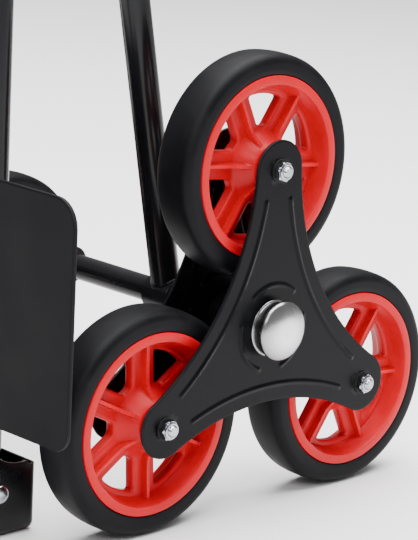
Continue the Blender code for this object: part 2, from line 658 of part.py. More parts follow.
# ---------------------------------------------------------------- handle
def add_handle(trolley):
    """The sliding handle, pushed right down; its origin is level with the uprights' tops."""
    low = HANDLE_FOOT - UPRIGHT_TOP
    top = HANDLE_TOP - HANDLE_RADIUS - UPRIGHT_TOP
    bend_x = FRAME_X - HANDLE_BEND
    bend_z = top - HANDLE_BEND
    path = [(-FRAME_X, low)]
    path += arc((-bend_x, bend_z), HANDLE_BEND, 180, 90, 6)
    path += arc((bend_x, bend_z), HANDLE_BEND, 90, 0, 6)
    path += [(FRAME_X, low)]
    origin = (0, UPRIGHT_Y, UPRIGHT_TOP)
    bent_tube("handle_loop", [(x, 0, z) for x, z in path], HANDLE_RADIUS, HANDLE_WALL,
              HANDLE_METAL, location=origin, parent=trolley)
    inner = (HANDLE_RADIUS + GAP) / math.cos(math.pi / TUBE_STEPS)
    half = min(GRIP_LENGTH / 2, bend_x - GAP)
    ring("handle_grip", inner + GRIP_WALL, inner, -half, half, TUBE_STEPS,
         FOAM, location=(0, UPRIGHT_Y, UPRIGHT_TOP + top), rotation=ALONG_X, parent=trolley)


def add_collar_and_knob(side, sign, turn, trolley):
    facet = math.cos(math.pi / TUBE_STEPS)
    seat = (TUBE_RADIUS + GAP) / facet
    throat = (HANDLE_RADIUS + GAP) / facet
    outer = seat + COLLAR_WALL
    profile = [(outer, COLLAR_OVER), (outer, -COLLAR_UNDER), (seat, -COLLAR_UNDER), (seat, GAP),
               (throat, GAP), (throat, COLLAR_OVER)]
    collar = turned("handle_collar_" + side, profile, TUBE_STEPS, PLASTIC, closed=True,
                    location=(sign * FRAME_X, UPRIGHT_Y, UPRIGHT_TOP), parent=trolley)
    spot = make_empty("knob_" + side + "_axis",
                      (sign * FRAME_X, UPRIGHT_Y, UPRIGHT_TOP + COLLAR_OVER / 2), trolley, turn)
    hole = rod("knob_hole_" + side, KNOB_STEM_RADIUS + GAP, throat / 2, 2 * outer, BOLT_STEPS,
               None, rotation=ALONG_X, parent=spot)
    combine(collar, hole, "DIFFERENCE")
    tip = throat + GAP
    face = outer + GAP
    crown = face + KNOB_LENGTH
    knob = [(0, crown), (KNOB_FACE_RADIUS, crown), (KNOB_RADIUS, crown - KNOB_CHAMFER),
            (KNOB_RADIUS, face), (KNOB_STEM_RADIUS, face), (KNOB_STEM_RADIUS, tip), (0, tip)]
    turned("lock_knob_" + side, knob, TUBE_STEPS, PLASTIC, rotation=ALONG_X, parent=spot)


def smooth_round_pieces():
    for piece in PARTS.objects:
        if piece.type == "MESH" and len(piece.data.polygons):
            piece.data.shade_smooth()
            piece.data.set_sharp_from_angle(angle=math.radians(30))


clear_scene()
PARTS = make_collection("stair_climbing_trolley")
CUTTERS = make_collection("cutters")
BLACK_STEEL = make_material("black_steel", (0.022, 0.022, 0.025), 0.35, 0.0)
TOE_STEEL = make_material("toe_plate_steel", (0.014, 0.014, 0.016), 0.45, 0.0)
RUBBER = make_material("tyre_rubber", (0.030, 0.031, 0.034), 0.60, 0.0)
RED = make_material("red_plastic", (0.85, 0.020, 0.030), 0.35, 0.0)
ZINC = make_material("zinc_plate", (0.72, 0.73, 0.76), 0.28, 1.0)
CHROME = make_material("chrome", (0.90, 0.90, 0.91), 0.10, 1.0)
HANDLE_METAL = make_material("handle_aluminium", (0.025, 0.025, 0.028), 0.35, 0.3)
FOAM = make_material("grip_foam", (0.018, 0.018, 0.019), 0.85, 0.0)
PLASTIC = make_material("black_plastic", (0.020, 0.020, 0.021), 0.50, 0.0)

WINDOWS = add_window_cutter()
RIDGES = add_ridges()
TROLLEY = make_empty("trolley_origin", (0, ORIGIN_TO_AXLE, 0))
add_axle(TROLLEY)
add_tray(TROLLEY)
add_uprights_and_bars(TROLLEY)
add_toe_plate(TROLLEY)
add_handle(TROLLEY)
for SIDE, SIGN, TURN in (("right", 1, 0.0), ("left", -1, math.pi)):
    add_cluster(SIDE, TURN, TROLLEY)
    add_hub_cap(SIDE, TURN, TROLLEY)
    add_axle_spacer(SIDE, TURN, TROLLEY)
    add_strut(SIDE, SIGN, TROLLEY)
    add_gusset(SIDE, SIGN, TURN, TROLLEY)
    add_hinge_pin(SIDE, TURN, TROLLEY)
    add_collar_and_knob(SIDE, SIGN, TURN, TROLLEY)
smooth_round_pieces()
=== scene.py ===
"""Looks for a folding stair-climbing trolley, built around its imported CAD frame.

Everything is placed from the boxes of the CAD nodes. Shape details are in millimetres
and are scaled to metres when a mesh is made.
"""

from math import acos, atan, atan2, copysign, cos, degrees, hypot, pi, radians, sin, sqrt, tan

import bpy
from mathutils import Matrix, Vector
from mathutils.geometry import delaunay_2d_cdt


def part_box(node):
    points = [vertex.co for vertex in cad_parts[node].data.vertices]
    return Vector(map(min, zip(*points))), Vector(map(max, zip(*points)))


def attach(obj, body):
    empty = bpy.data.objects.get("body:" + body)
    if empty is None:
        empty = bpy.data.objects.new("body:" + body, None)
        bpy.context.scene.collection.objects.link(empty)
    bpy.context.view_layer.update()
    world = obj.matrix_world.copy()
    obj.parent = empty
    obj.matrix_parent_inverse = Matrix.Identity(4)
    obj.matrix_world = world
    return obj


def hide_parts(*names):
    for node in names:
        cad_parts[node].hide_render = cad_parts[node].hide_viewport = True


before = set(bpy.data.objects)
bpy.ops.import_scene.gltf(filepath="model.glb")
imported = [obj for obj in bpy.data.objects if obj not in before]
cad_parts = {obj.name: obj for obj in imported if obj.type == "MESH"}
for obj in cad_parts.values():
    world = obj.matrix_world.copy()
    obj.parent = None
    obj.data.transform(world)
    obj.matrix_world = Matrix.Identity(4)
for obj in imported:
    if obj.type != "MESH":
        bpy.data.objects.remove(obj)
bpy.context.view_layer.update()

MM = 0.001
SIDES = ("left", "right")
SEATS = ("upper", "front", "rear")
ARM_ANGLES = (90, 210, 330)
SHEET_EDGE = (0.0, 0.25, 0.7, 1.7)     # insets of the loops that round a sheet's edge
SHEET_FALL = (0.6, 0.17)               # how far the edge has fallen at the first two
SHARP_ANGLE = radians(38)
WELD_RIPPLE = 2.1                      # radians of ripple from one point of a weld to the next


# ---- places from the CAD
def centre_of(node):
    low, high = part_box(node)
    return (low + high) / 2


def size_of(node):
    low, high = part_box(node)
    return (high - low) / MM


def x_ends(node):
    """A node's near and far end along x from the middle, in millimetres."""
    low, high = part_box(node)
    return sorted((abs(low.x) / MM, abs(high.x) / MM))


def at(x, y, z):
    return Matrix.Translation((x, y, z))


def outward(side):
    """Turns local x, y, z to the wheel plane and outwards along the axle, for one side."""
    right = Matrix(((0, 0, 1), (1, 0, 0), (0, 1, 0))).to_4x4()
    if side == "right":
        return right
    return Matrix.Rotation(pi, 4, "Z") @ right


def polar(radius, heading):
    angle = radians(heading)
    return radius * cos(angle), radius * sin(angle)


def arc(centre, radius, start, turn, steps):
    """Points along an arc that starts at an angle and turns through some degrees."""
    spots = [polar(radius, start + turn * step / steps) for step in range(steps + 1)]
    return [(centre[0] + x, centre[1] + y) for x, y in spots]


# ---- mesh tools
def make_mesh(name, verts, faces):
    """A mesh in metres from corners in millimetres."""
    mesh = bpy.data.meshes.new(name)
    mesh.from_pydata([Vector(v) * MM for v in verts], [], faces)
    mesh.validate()
    mesh.shade_smooth()
    mesh.set_sharp_from_angle(angle=SHARP_ANGLE)
    return mesh


def new_object(name, data):
    made = bpy.data.objects.new(name, data)
    bpy.context.scene.collection.objects.link(made)
    return made


def add_piece(name, shape, spot, finish, body, node=None):
    """Adds a piece that rides on a body, in the place of a CAD node if one is named."""
    mesh = shape if isinstance(shape, bpy.types.Mesh) else make_mesh(name, *shape)
    piece = new_object(name, mesh)
    piece.matrix_world = spot
    material, slot = finish
    if not mesh.materials:
        mesh.materials.append(material)
    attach(piece, body)
    if node:
        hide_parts(node)
    return piece


def join_shapes(shapes):
    verts, faces = [], []
    for more_verts, more_faces in shapes:
        start = len(verts)
        verts += more_verts
        faces += [[start + i for i in face] for face in more_faces]
    return verts, faces


def moved(shape, matrix):
    verts, faces = shape
    return [tuple(matrix @ Vector(v)) for v in verts], faces


def grid_faces(rows, columns, close_rows=False, close_columns=False):
    faces = []
    for row in range(rows if close_rows else rows - 1):
        for column in range(columns if close_columns else columns - 1):
            a = row * columns + column
            b = row * columns + (column + 1) % columns
            c = (row + 1) % rows * columns + (column + 1) % columns
            d = (row + 1) % rows * columns + column
            faces.append([a, b, c, d])
    return faces


def lathe(profile, steps, closed=False, lobes=0, lobe_depth=0.0):
    """Turns (radius, z) points about z. An open profile has to start and end on the axis."""
    ends = () if closed else (profile[0][1], profile[-1][1])
    rings = profile if closed else profile[1:-1]
    verts = []
    for radius, z in rings:
        for step in range(steps):
            angle = 2 * pi * step / steps
            pulled = radius - lobe_depth * (0.5 - 0.5 * cos(lobes * angle)) if lobes else radius
            verts.append((pulled * cos(angle), pulled * sin(angle), z))
    faces = grid_faces(len(rings), steps, close_rows=closed, close_columns=True)
    for end, (z, first) in enumerate(zip(ends, (0, (len(rings) - 1) * steps))):
        verts.append((0, 0, z))
        for step in range(steps):
            pair = [first + step, first + (step + 1) % steps]
            faces.append([len(verts) - 1] + (pair if end else pair[::-1]))
    return verts, faces


def sweep(path, radius, sides=32, closed=False):
    """A round bar along a path; radius is a number or one number for each point."""
    points = [Vector(p) for p in path]
    count = len(points)
    radii = radius if isinstance(radius, list) else [radius] * count
    verts = []
    side = None
    for index, point in enumerate(points):
        before = points[index - 1] if closed or index else point
        after = points[(index + 1) % count] if closed or index < count - 1 else point
        ahead = (after - before).normalized()
        if side is None:
            side = ahead.orthogonal().normalized()
        side = (side - ahead * side.dot(ahead)).normalized()
        other = ahead.cross(side)
        for step in range(sides):
            angle = 2 * pi * step / sides
            offset = side * cos(angle) + other * sin(angle)
            verts.append(tuple(point + offset * radii[index]))
    faces = grid_faces(count, sides, close_rows=closed, close_columns=True)
    if not closed:
        faces.append(list(range(sides))[::-1])
        faces.append(list(range((count - 1) * sides, count * sides)))
    return verts, faces


def tube(start, end, radius, sides=40, edge=0.6):
    """A straight round tube between two points, its end edges broken."""
    ahead = (Vector(end) - Vector(start)).normalized()
    path = [Vector(start), Vector(start) + ahead * edge, Vector(end) - ahead * edge, Vector(end)]
    return sweep(path, [radius - edge, radius, radius, radius - edge], sides)


def weld_bead(origin, along, across, main_radius, branch_radius, thickness=1.7):
    """The bead where a branch tube meets a main tube, following the saddle between them."""
    along = Vector(along).normalized()
    across = Vector(across).normalized()
    lateral = along.cross(across)
    path, radii = [], []
    steps = 90
    for step in range(steps):
        angle = 2 * pi * step / steps
        side = branch_radius * sin(angle)
        rise = sqrt(max(main_radius ** 2 - side ** 2, 0))
        path.append(Vector(origin) + along * rise + across * branch_radius * cos(angle)
                    + lateral * side)
        ripple = 0.16 * sin(step * WELD_RIPPLE) + 0.06 * sin(step * WELD_RIPPLE / 3)
        radii.append(thickness * (1 + ripple))
    return sweep(path, radii, 10, closed=True)


def foot_bead(centre, radius, thickness=1.6):
    """A weld bead round the foot of an upright tube."""
    steps = 72
    path = [Vector(centre) + Vector((x, y, 0)) for x, y in ring_points(radius, steps)]
    radii = [thickness * (1 + 0.15 * sin(i * WELD_RIPPLE)) for i in range(steps)]
    return sweep(path, radii, 10, closed=True)


def ring_points(radius, steps, centre=(0, 0)):
    return arc(centre, radius, 0, 360, steps)[:-1]


def relief(loops, lines, points, keep, top, bottom):
    """A closed sheet over a flat region, with its own height on each face.

    loops are closed outlines, lines are open rows of points that edges follow, points are
    extra samples, and keep says whether a place belongs to the sheet.
    """
    coords, edges, seen = [], [], {}

    def index_of(place):
        key = (round(place[0], 2), round(place[1], 2))
        if key not in seen:
            seen[key] = len(coords)
            coords.append(Vector(key))
        return seen[key]

    for loop in loops:
        ids = [index_of(p) for p in loop]
        edges += [(a, b) for a, b in zip(ids, ids[1:] + ids[:1]) if a != b]
    for line in lines:
        ids = [index_of(p) for p in line]
        edges += [(a, b) for a, b in zip(ids, ids[1:]) if a != b]
    for place in points:
        index_of(place)
    flat, _, triangles, _, _, _ = delaunay_2d_cdt(coords, edges, [], 0, 0.0005)
    kept = []
    for triangle in triangles:
        middle = sum((flat[i] for i in triangle), Vector((0, 0))) / 3
        if keep(middle.x, middle.y):
            kept.append(list(triangle))
    used = sorted({i for triangle in kept for i in triangle})
    number = {old: new for new, old in enumerate(used)}
    verts = [(flat[i].x, flat[i].y, top(flat[i].x, flat[i].y)) for i in used]
    verts += [(flat[i].x, flat[i].y, bottom(flat[i].x, flat[i].y)) for i in used]
    below = len(used)
    faces, rim_edges = [], {}
    for triangle in kept:
        ids = [number[i] for i in triangle]
        faces.append(ids)
        faces.append([i + below for i in reversed(ids)])
        for a, b in zip(ids, ids[1:] + ids[:1]):
            if (b, a) in rim_edges:
                del rim_edges[(b, a)]
            else:
                rim_edges[(a, b)] = True
    for a, b in rim_edges:
        faces.append([b, a, a + below, b + below])
    return verts, faces


def inside(x, y, outline):
    """Whether a place is inside a closed outline."""
    found = False
    for (ax, ay), (bx, by) in zip(outline, outline[1:] + outline[:1]):
        if (ay > y) != (by > y) and x < (bx - ax) * (y - ay) / (by - ay) + ax:
            found = not found
    return found


def edge_falls(outlines, falls):
    """A function that says how far a sheet's face has fallen at a point of its outlines."""
    found = {}
    for outline, fall in zip(outlines, falls):
        for x, y in outline:
            found[(round(x, 2), round(y, 2))] = fall
    return lambda x, y: found.get((round(x, 2), round(y, 2)), 0.0)


def rounded_outline(corners, inset=0.0, steps=6):
    """A closed outline from (x, y, radius) corners in order, each inset by the same amount.

    A negative radius marks a corner that turns the other way.
    """
    points = []
    count = len(corners)
    for index, (x, y, radius) in enumerate(corners):
        here = Vector((x, y))
        before = (Vector(corners[index - 1][:2]) - here).normalized()
        after = (Vector(corners[(index + 1) % count][:2]) - here).normalized()
        half = before.angle(after) / 2
        bisector = (before + after).normalized()
        centre = here + bisector * abs(radius) / sin(half)
        reach = max(radius - inset, 0.05) if radius > 0 else inset - radius
        first = here + before * abs(radius) / tan(half) - centre
        last = here + after * abs(radius) / tan(half) - centre
        begin = atan2(first.y, first.x)
        turn = (atan2(last.y, last.x) - begin + pi) % (2 * pi) - pi
        for step in range(steps + 1):
            angle = begin + turn * step / steps
            points.append((centre.x + reach * cos(angle), centre.y + reach * sin(angle)))
    return points


def sheet_shape(corners, thickness, holes=(), round_by=0.6):
    """A flat plate with rounded edges, in the x, y plane, from (x, y, radius) corners."""
    insets = (0.0, 0.3 * round_by, round_by, round_by + 1.0)
    outlines = [rounded_outline(corners, inset) for inset in insets]
    fall = edge_falls(outlines, (round_by, 0.3 * round_by, 0.0, 0.0))
    loops = outlines + [ring_points(radius, 40, (x, y)) for x, y, radius in holes]

    def in_sheet(x, y):
        if any(hypot(x - hx, y - hy) < radius for hx, hy, radius in holes):
            return False
        return inside(x, y, outlines[0])

    half = thickness / 2
    return relief(loops, [], [], in_sheet, lambda x, y: half - fall(x, y),
                  lambda x, y: fall(x, y) - half)


def edge_drop(distance, radius):
    """How far a surface has fallen at a distance inside a rounded edge."""
    if distance >= radius:
        return 0.0
    short = 1 - max(distance, 0.0) / radius
    return radius * (1 - sqrt(max(1 - short * short, 0.0)))


def ease(value):
    value = min(max(value, 0.0), 1.0)
    return value * value * (3 - 2 * value)


# ---- materials
class Finish:
    """A material in the making, with the node helpers that all the finishes share."""

    def __init__(self, name):
        self.material = bpy.data.materials.new(name)
        self.material.use_nodes = True
        self.nodes = self.material.node_tree.nodes
        self.shader = self.nodes["Principled BSDF"]
        self.coords = self.nodes.new("ShaderNodeTexCoord").outputs["Object"]

    def feed(self, socket, value):
        """Sets a colour on a socket, or links another node's output to it."""
        if isinstance(value, tuple):
            socket.default_value = (*value, 1)
        else:
            self.material.node_tree.links.new(value, socket)

    def noise(self, scale, detail=4.0, roughness=0.55):
        texture = self.nodes.new("ShaderNodeTexNoise")
        texture.inputs["Scale"].default_value = scale
        texture.inputs["Detail"].default_value = detail
        texture.inputs["Roughness"].default_value = roughness
        self.feed(texture.inputs["Vector"], self.coords)
        return texture.outputs["Fac"]

    def stretch(self, source, low=0.0, high=1.0, from_low=0.3, from_high=0.7):
        """Spreads a part of a value's range, at first the middle of a noise, over low to high."""
        mapping = self.nodes.new("ShaderNodeMapRange")
        names = ("From Min", "From Max", "To Min", "To Max")
        for name, value in zip(names, (from_low, from_high, low, high)):
            mapping.inputs[name].default_value = value
        self.feed(mapping.inputs["Value"], source)
        return mapping.outputs["Result"]

    def mixed(self, factor, first, second):
        mix = self.nodes.new("ShaderNodeMix")
        mix.data_type = "RGBA"
        self.feed(mix.inputs["Factor"], factor)
        self.feed(mix.inputs[6], first)
        self.feed(mix.inputs[7], second)
        return mix.outputs[2]

    def edge_highlighted(self, base, edge_highlight, low=0.53, high=0.62):
        """The base colour, painted lighter where the surface turns sharply outwards: a painted edge
        highlight.
        """
        geometry = self.nodes.new("ShaderNodeNewGeometry")
        edges = self.stretch(geometry.outputs["Pointiness"], 0.0, 1.0, low, high)
        return self.mixed(edges, base, edge_highlight)

    def done(self, colour, roughness, specular, height, distance):
        """Joins colour, roughness and fine bumps to the shader, and gives the material."""
        self.feed(self.shader.inputs["Base Color"], colour)
        self.feed(self.shader.inputs["Roughness"], roughness)
        self.shader.inputs["Specular IOR Level"].default_value = specular
        bump = self.nodes.new("ShaderNodeBump")
        bump.inputs["Distance"].default_value = distance
        self.feed(bump.inputs["Height"], height)
        self.feed(self.shader.inputs["Normal"], bump.outputs["Normal"])
        return self.material


def shade(colour, share):
    return tuple(value * share for value in colour)


def coated_metal(name, colour, edge_highlight, roughness, grain, bump_height, specular):
    """Painted or powder coated steel: fine orange peel, smudges, and a painted highlight that makes
    the edges lighter.
    """
    finish = Finish(name)
    smudge = finish.noise(22.0, 6.0, 0.6)
    base = finish.mixed(finish.stretch(smudge), shade(colour, 0.75), shade(colour, 1.3))
    rough = finish.stretch(smudge, roughness * 0.75, roughness * 1.25)
    peel = finish.noise(grain, 3.0)
    return finish.done(finish.edge_highlighted(base, edge_highlight), rough, specular, peel, bump_height)


def red_plastic():
    finish = Finish("red_moulded_plastic")
    flow = finish.noise(35.0, 5.0, 0.6)
    base = finish.mixed(finish.stretch(flow), (0.44, 0.0, 0.0060), (0.54, 0.0, 0.0085))
    # Painted highlight: the sharply turned edges get a lighter red.
    colour = finish.edge_highlighted(base, (0.75, 0.004, 0.018), 0.52, 0.60)
    rough = finish.stretch(flow, 0.28, 0.42)
    return finish.done(colour, rough, 0.14, finish.noise(900.0, 2.0), 0.00002)


def rubber():
    finish = Finish("tyre_rubber")
    grime = finish.noise(40.0, 8.0, 0.65)
    base = finish.mixed(finish.stretch(grime, 0.0, 1.0, 0.35, 0.7),
                        (0.0028, 0.0028, 0.0036), (0.0062, 0.0062, 0.0074))
    dust = finish.stretch(finish.noise(160.0, 10.0, 0.75), 0.0, 0.55, 0.62, 0.78)
    colour = finish.mixed(dust, base, (0.022, 0.0215, 0.021))
    rough = finish.stretch(grime, 0.42, 0.58)
    return finish.done(colour, rough, 0.09, finish.noise(1400.0, 2.0), 0.00004)


def plated(name, colour, roughness, scale, bump_height, shade_radius=None):
    """Zinc or chrome plate: fine brushing, faint clouding, and, when a radius is given, painted shade
    that darkens the colour towards that radius from the middle.
    """
    finish = Finish(name)
    cloud = finish.noise(60.0, 5.0, 0.6)
    base = finish.mixed(finish.stretch(cloud), shade(colour, 0.9), colour)
    if shade_radius:
        flat = finish.nodes.new("ShaderNodeVectorMath")
        flat.operation = "MULTIPLY"
        flat.inputs[1].default_value = (1, 1, 0)
        finish.feed(flat.inputs[0], finish.coords)
        reach = finish.nodes.new("ShaderNodeVectorMath")
        reach.operation = "LENGTH"
        finish.feed(reach.inputs[0], flat.outputs["Vector"])
        rim = finish.stretch(reach.outputs["Value"], 0.0, 1.0, shade_radius * 0.35, shade_radius)
        # Painted shade: the colour darkens to about a third of itself towards that radius.
        base = finish.mixed(rim, base, shade(colour, 0.32))
    finish.shader.inputs["Metallic"].default_value = 1.0
    rough = finish.stretch(cloud, roughness * 0.7, roughness * 1.3)
    return finish.done(base, rough, 0.5, finish.noise(scale, 2.0), bump_height)


def plastic(name, colour, roughness, grain, bump_height):
    finish = Finish(name)
    cloud = finish.noise(50.0, 5.0, 0.6)
    base = finish.mixed(finish.stretch(cloud), shade(colour, 0.8), colour)
    rough = finish.stretch(cloud, roughness * 0.85, roughness * 1.15)
    # Painted highlight: the sharply turned edges get a colour 2.2 times as light.
    return finish.done(finish.edge_highlighted(base, shade(colour, 2.2)), rough, 0.2,
                       finish.noise(grain, 2.0), bump_height)


def foam():
    finish = Finish("grip_foam")
    cells = finish.nodes.new("ShaderNodeTexVoronoi")
    cells.inputs["Scale"].default_value = 900.0
    finish.feed(cells.inputs["Vector"], finish.coords)
    depth = cells.outputs["Distance"]
    # Painted shade: the pits of the cells, where the bumps are lowest, are coloured darker.
    colour = finish.mixed(finish.stretch(depth, 0.0, 1.0, 0.0, 0.8),
                          (0.004, 0.004, 0.005), (0.014, 0.014, 0.015))
    finish.shader.inputs["Sheen Weight"].default_value = 0.06
    rough = finish.stretch(finish.noise(30.0), 0.82, 0.95, 0.0, 1.0)
    return finish.done(colour, rough, 0.5, depth, 0.0003)


def floor_finish():
    finish = Finish("studio_floor")
    colour = finish.mixed(finish.noise(3.0), (0.90, 0.90, 0.90), (0.93, 0.93, 0.93))
    finish.feed(finish.shader.inputs["Base Color"], colour)
    finish.shader.inputs["Roughness"].default_value = 0.9
    finish.shader.inputs["Specular IOR Level"].default_value = 0.1
    return finish.material


# Each finish is a material paired with a slot name.
RED = (red_plastic(), "rim")
RUBBER = (rubber(), "tyre")
# The second colour given to each coated finish is the painted highlight on its edges.
GLOSS_BLACK = (coated_metal("gloss_black_enamel", (0.0020, 0.0020, 0.0028),
                            (0.012, 0.012, 0.014), 0.22, 450.0, 0.00003, 0.20), "frame_steel")
PLATE_BLACK = (coated_metal("star_plate_coat", (0.0030, 0.0030, 0.0040),
                            (0.06, 0.06, 0.065), 0.30, 1100.0, 0.00003, 0.08), "star_plate")
TOE_BLACK = (coated_metal("toe_plate_coat", (0.0030, 0.0030, 0.0038),
                          (0.04, 0.04, 0.044), 0.44, 1000.0, 0.00003, 0.06), "toe_plate")
TRAY_BLACK = (coated_metal("tray_coat", (0.0025, 0.0025, 0.0032),
                           (0.05, 0.05, 0.053), 0.30, 800.0, 0.00003, 0.20), "frame_steel")
HANDLE_BLACK = (coated_metal("handle_anodised", (0.0035, 0.0035, 0.0042),
                             (0.02, 0.02, 0.022), 0.30, 700.0, 0.00002, 0.30), "handle_tube")
ZINC = (plated("zinc_plate", (0.42, 0.43, 0.47), 0.22, 700.0, 0.00003), "zinc")
# The chrome cap gets painted shade that darkens it towards its edge, 21.6 mm from the middle.
CHROME = (plated("polished_chrome", (0.72, 0.72, 0.73), 0.25, 300.0, 0.000003, 0.0216), "chrome")
PLASTIC = (plastic("black_plastic", (0.005, 0.005, 0.0055), 0.46, 1500.0, 0.00006),
           "black_plastic")
# A near-black washer, there for the dark ring beside each nut, which is shade: a dark part standing
# in for painted shade.
WASHER_SHADE = (plastic("dark_washer_for_shade", (0.004, 0.004, 0.004), 0.6, 900.0, 0.00003), "black_plastic")
FOAM = (foam(), "foam")


# ---- wheels
RIM_OUTER = 64.8
RIM_HALF = 17.0
RIM_LIP_INNER = 58.0
RIM_LIP_ROUND = 0.9
DISH_FOOT = 54.0
WEB_HALF = 4.5
FLARE_START = 26.0
HUB_RADIUS = 15.5
HUB_END = size_of("rim_upper_right").x / 2
BOSS_RADIUS = 9.0
BOSS_EDGE = 0.8
BORE_RADIUS = 4.3
WINDOW_INNER = 27.3
WINDOW_OUTER = 50.0
WINDOW_CORNER = 1.8
SPOKE_HALF = 10.2
SPOKE_COUNT = 6
SPOKE_ROUND = 2.4
RIDGE_HALF = 1.2
RIDGE_FOOT = 2.0
RIDGE_TOP = 9.0
RIDGE_FLARE_START = 30.0
SPOKE_PHASE = {"upper": -5.0, "front": 33.2, "rear": -5.0}
RIM_LOOPS = ((64.5, 144), (63.9, 144), (58.9, 144), (58.4, 144), (58.0, 144), (57.2, 144),
             (56.2, 144), (55.0, 144), (54.0, 144), (52.6, 144), (22.5, 96), (20.0, 84),
             (17.8, 72), (15.5, 72), (14.6, 60), (9.8, 48), (9.4, 48), (9.0, 48), (24.4, 96))
BOLT_RADIUS = 4.0
BOLT_HEAD = 7.2          # radius to the corners
BOLT_HEAD_HEIGHT = 5.0
NUT_RADIUS = 7.5         # radius to the corners
NUT_SEAT = 1.1           # from the star plate to the nut, over its washer
NUT_HEX_SHARE = 0.72     # the rest of the nut's height is its nylon collar
NUT_TURN, NUT_TURN_STEP = 11, 17       # how far round each wheel's nut stopped, in degrees


def tyre_shape():
    """Round-shouldered solid tyre with a flat band beside the rim."""
    side = [(RIM_OUTER + 0.3, 15.2), (RIM_OUTER + 0.7, 16.1), (RIM_OUTER + 1.6, 16.5),
            (69.5, 16.5)]
    side += arc((72.4, 9.5), 7.0, 90, -75, 10)
    side += [(79.55, 8.6), (79.78, 6.0), (79.94, 3.0), (80.0, 0.8)]
    profile = side + [(radius, -z) for radius, z in reversed(side)]
    return lathe(profile[::-1], 128, closed=True)


def spoke_offset(x, y):
    """Distance from the middle line of the nearest spoke, and distance from the hub."""
    radius = hypot(x, y)
    pitch = radians(360 / SPOKE_COUNT)
    angle = (atan2(y, x) + pitch / 2) % pitch - pitch / 2
    return radius * abs(sin(angle)), radius


def window_distance(x, y):
    """Distance outside the nearest window between two spokes; negative inside it."""
    offset, radius = spoke_offset(x, y)
    sides = [SPOKE_HALF - offset, radius - WINDOW_OUTER, WINDOW_INNER - radius]
    grown = [value + WINDOW_CORNER for value in sides]
    beyond = sqrt(sum(max(value, 0.0) ** 2 for value in grown))
    return beyond + min(max(grown), 0.0) - WINDOW_CORNER


def rim_height(x, y):
    """Half the rim's thickness at a place: lip, dish, web, spoke ridges and hub."""
    offset, radius = spoke_offset(x, y)
    if radius > RIM_OUTER - RIM_LIP_ROUND:
        return RIM_HALF - edge_drop(RIM_OUTER - radius, RIM_LIP_ROUND)
    if radius > RIM_LIP_INNER:
        return RIM_HALF - edge_drop(radius - RIM_LIP_INNER, RIM_LIP_ROUND)
    height = WEB_HALF
    if radius > DISH_FOOT:
        run = (radius - DISH_FOOT) / (RIM_LIP_INNER - DISH_FOOT)
        height += (RIM_HALF - RIM_LIP_ROUND - WEB_HALF) * run ** 1.35
    if radius < FLARE_START:
        run = min((FLARE_START - radius) / (FLARE_START - HUB_RADIUS), 1.0)
        height += (RIM_HALF - 0.5 - WEB_HALF) * run ** 1.4
    if radius < HUB_RADIUS:
        height = RIM_HALF - 0.5 * ease(radius - HUB_RADIUS + 1.0)
        if radius < BOSS_RADIUS + BOSS_EDGE:
            rise = ease((BOSS_RADIUS + BOSS_EDGE - radius) / BOSS_EDGE)
            height += (HUB_END - RIM_HALF) * rise
    if radius > HUB_RADIUS:
        run = max((RIDGE_FLARE_START - radius) / (RIDGE_FLARE_START - HUB_RADIUS), 0.0)
        top = RIDGE_TOP + (RIM_HALF - 1.2 - RIDGE_TOP) * run ** 1.6
        share = 1 - ease((offset - RIDGE_HALF) / (RIDGE_FOOT - RIDGE_HALF))
        height = max(height, height + (top - height) * share)
    return height - edge_drop(window_distance(x, y), SPOKE_ROUND)


def window_loop(middle, level, steps=64):
    """The outline at one distance outside the window whose middle is at an angle."""
    cx, cy = polar((WINDOW_INNER + WINDOW_OUTER) / 2 + 3, middle)
    points = []
    for step in range(steps):
        dx, dy = polar(1.0, middle + 360 * step / steps)
        low, high = 0.0, 22.0
        for _ in range(24):
            reach = (low + high) / 2
            if window_distance(cx + dx * reach, cy + dy * reach) < level:
                low = reach
            else:
                high = reach
        points.append((cx + dx * low, cy + dy * low))
    return points


def spoke_samples(spoke):
    """Rows of points along one spoke: those on its ridge, and those on its flanks."""
    turn = radians(spoke * 360 / SPOKE_COUNT)
    ridge, flanks = [], []
    for offset in (0.0, RIDGE_HALF, 1.6, RIDGE_FOOT, 4.4, 6.4):
        on_ridge = offset <= RIDGE_FOOT
        start, stop = (16.0, 57.0) if on_ridge else (22.0, 52.0)
        for sign in (1, -1) if offset else (1,):
            line = []
            for step in range(21):
                along = start + (stop - start) * step / 20
                line.append((along * cos(turn) - sign * offset * sin(turn),
                             along * sin(turn) + sign * offset * cos(turn)))
            (ridge if on_ridge else flanks).append(line)
    return ridge, flanks


def rim_shape():
    loops = [ring_points(RIM_OUTER, 144), ring_points(BORE_RADIUS, 36)]
    loops += [ring_points(radius, steps) for radius, steps in RIM_LOOPS]
    for spoke in range(SPOKE_COUNT):
        middle = (spoke + 0.5) * 360 / SPOKE_COUNT
        loops += [window_loop(middle, level) for level in (0.0, 0.3, 0.8, 1.5, SPOKE_ROUND)]
    lines, points = [], []
    for spoke in range(SPOKE_COUNT):
        ridge, flanks = spoke_samples(spoke)
        lines += ridge
        points += [point for line in flanks for point in line]

    def in_rim(x, y):
        radius = hypot(x, y)
        return BORE_RADIUS < radius < RIM_OUTER and window_distance(x, y) > 0

    return relief(loops, lines, points, in_rim, rim_height, lambda x, y: -rim_height(x, y))


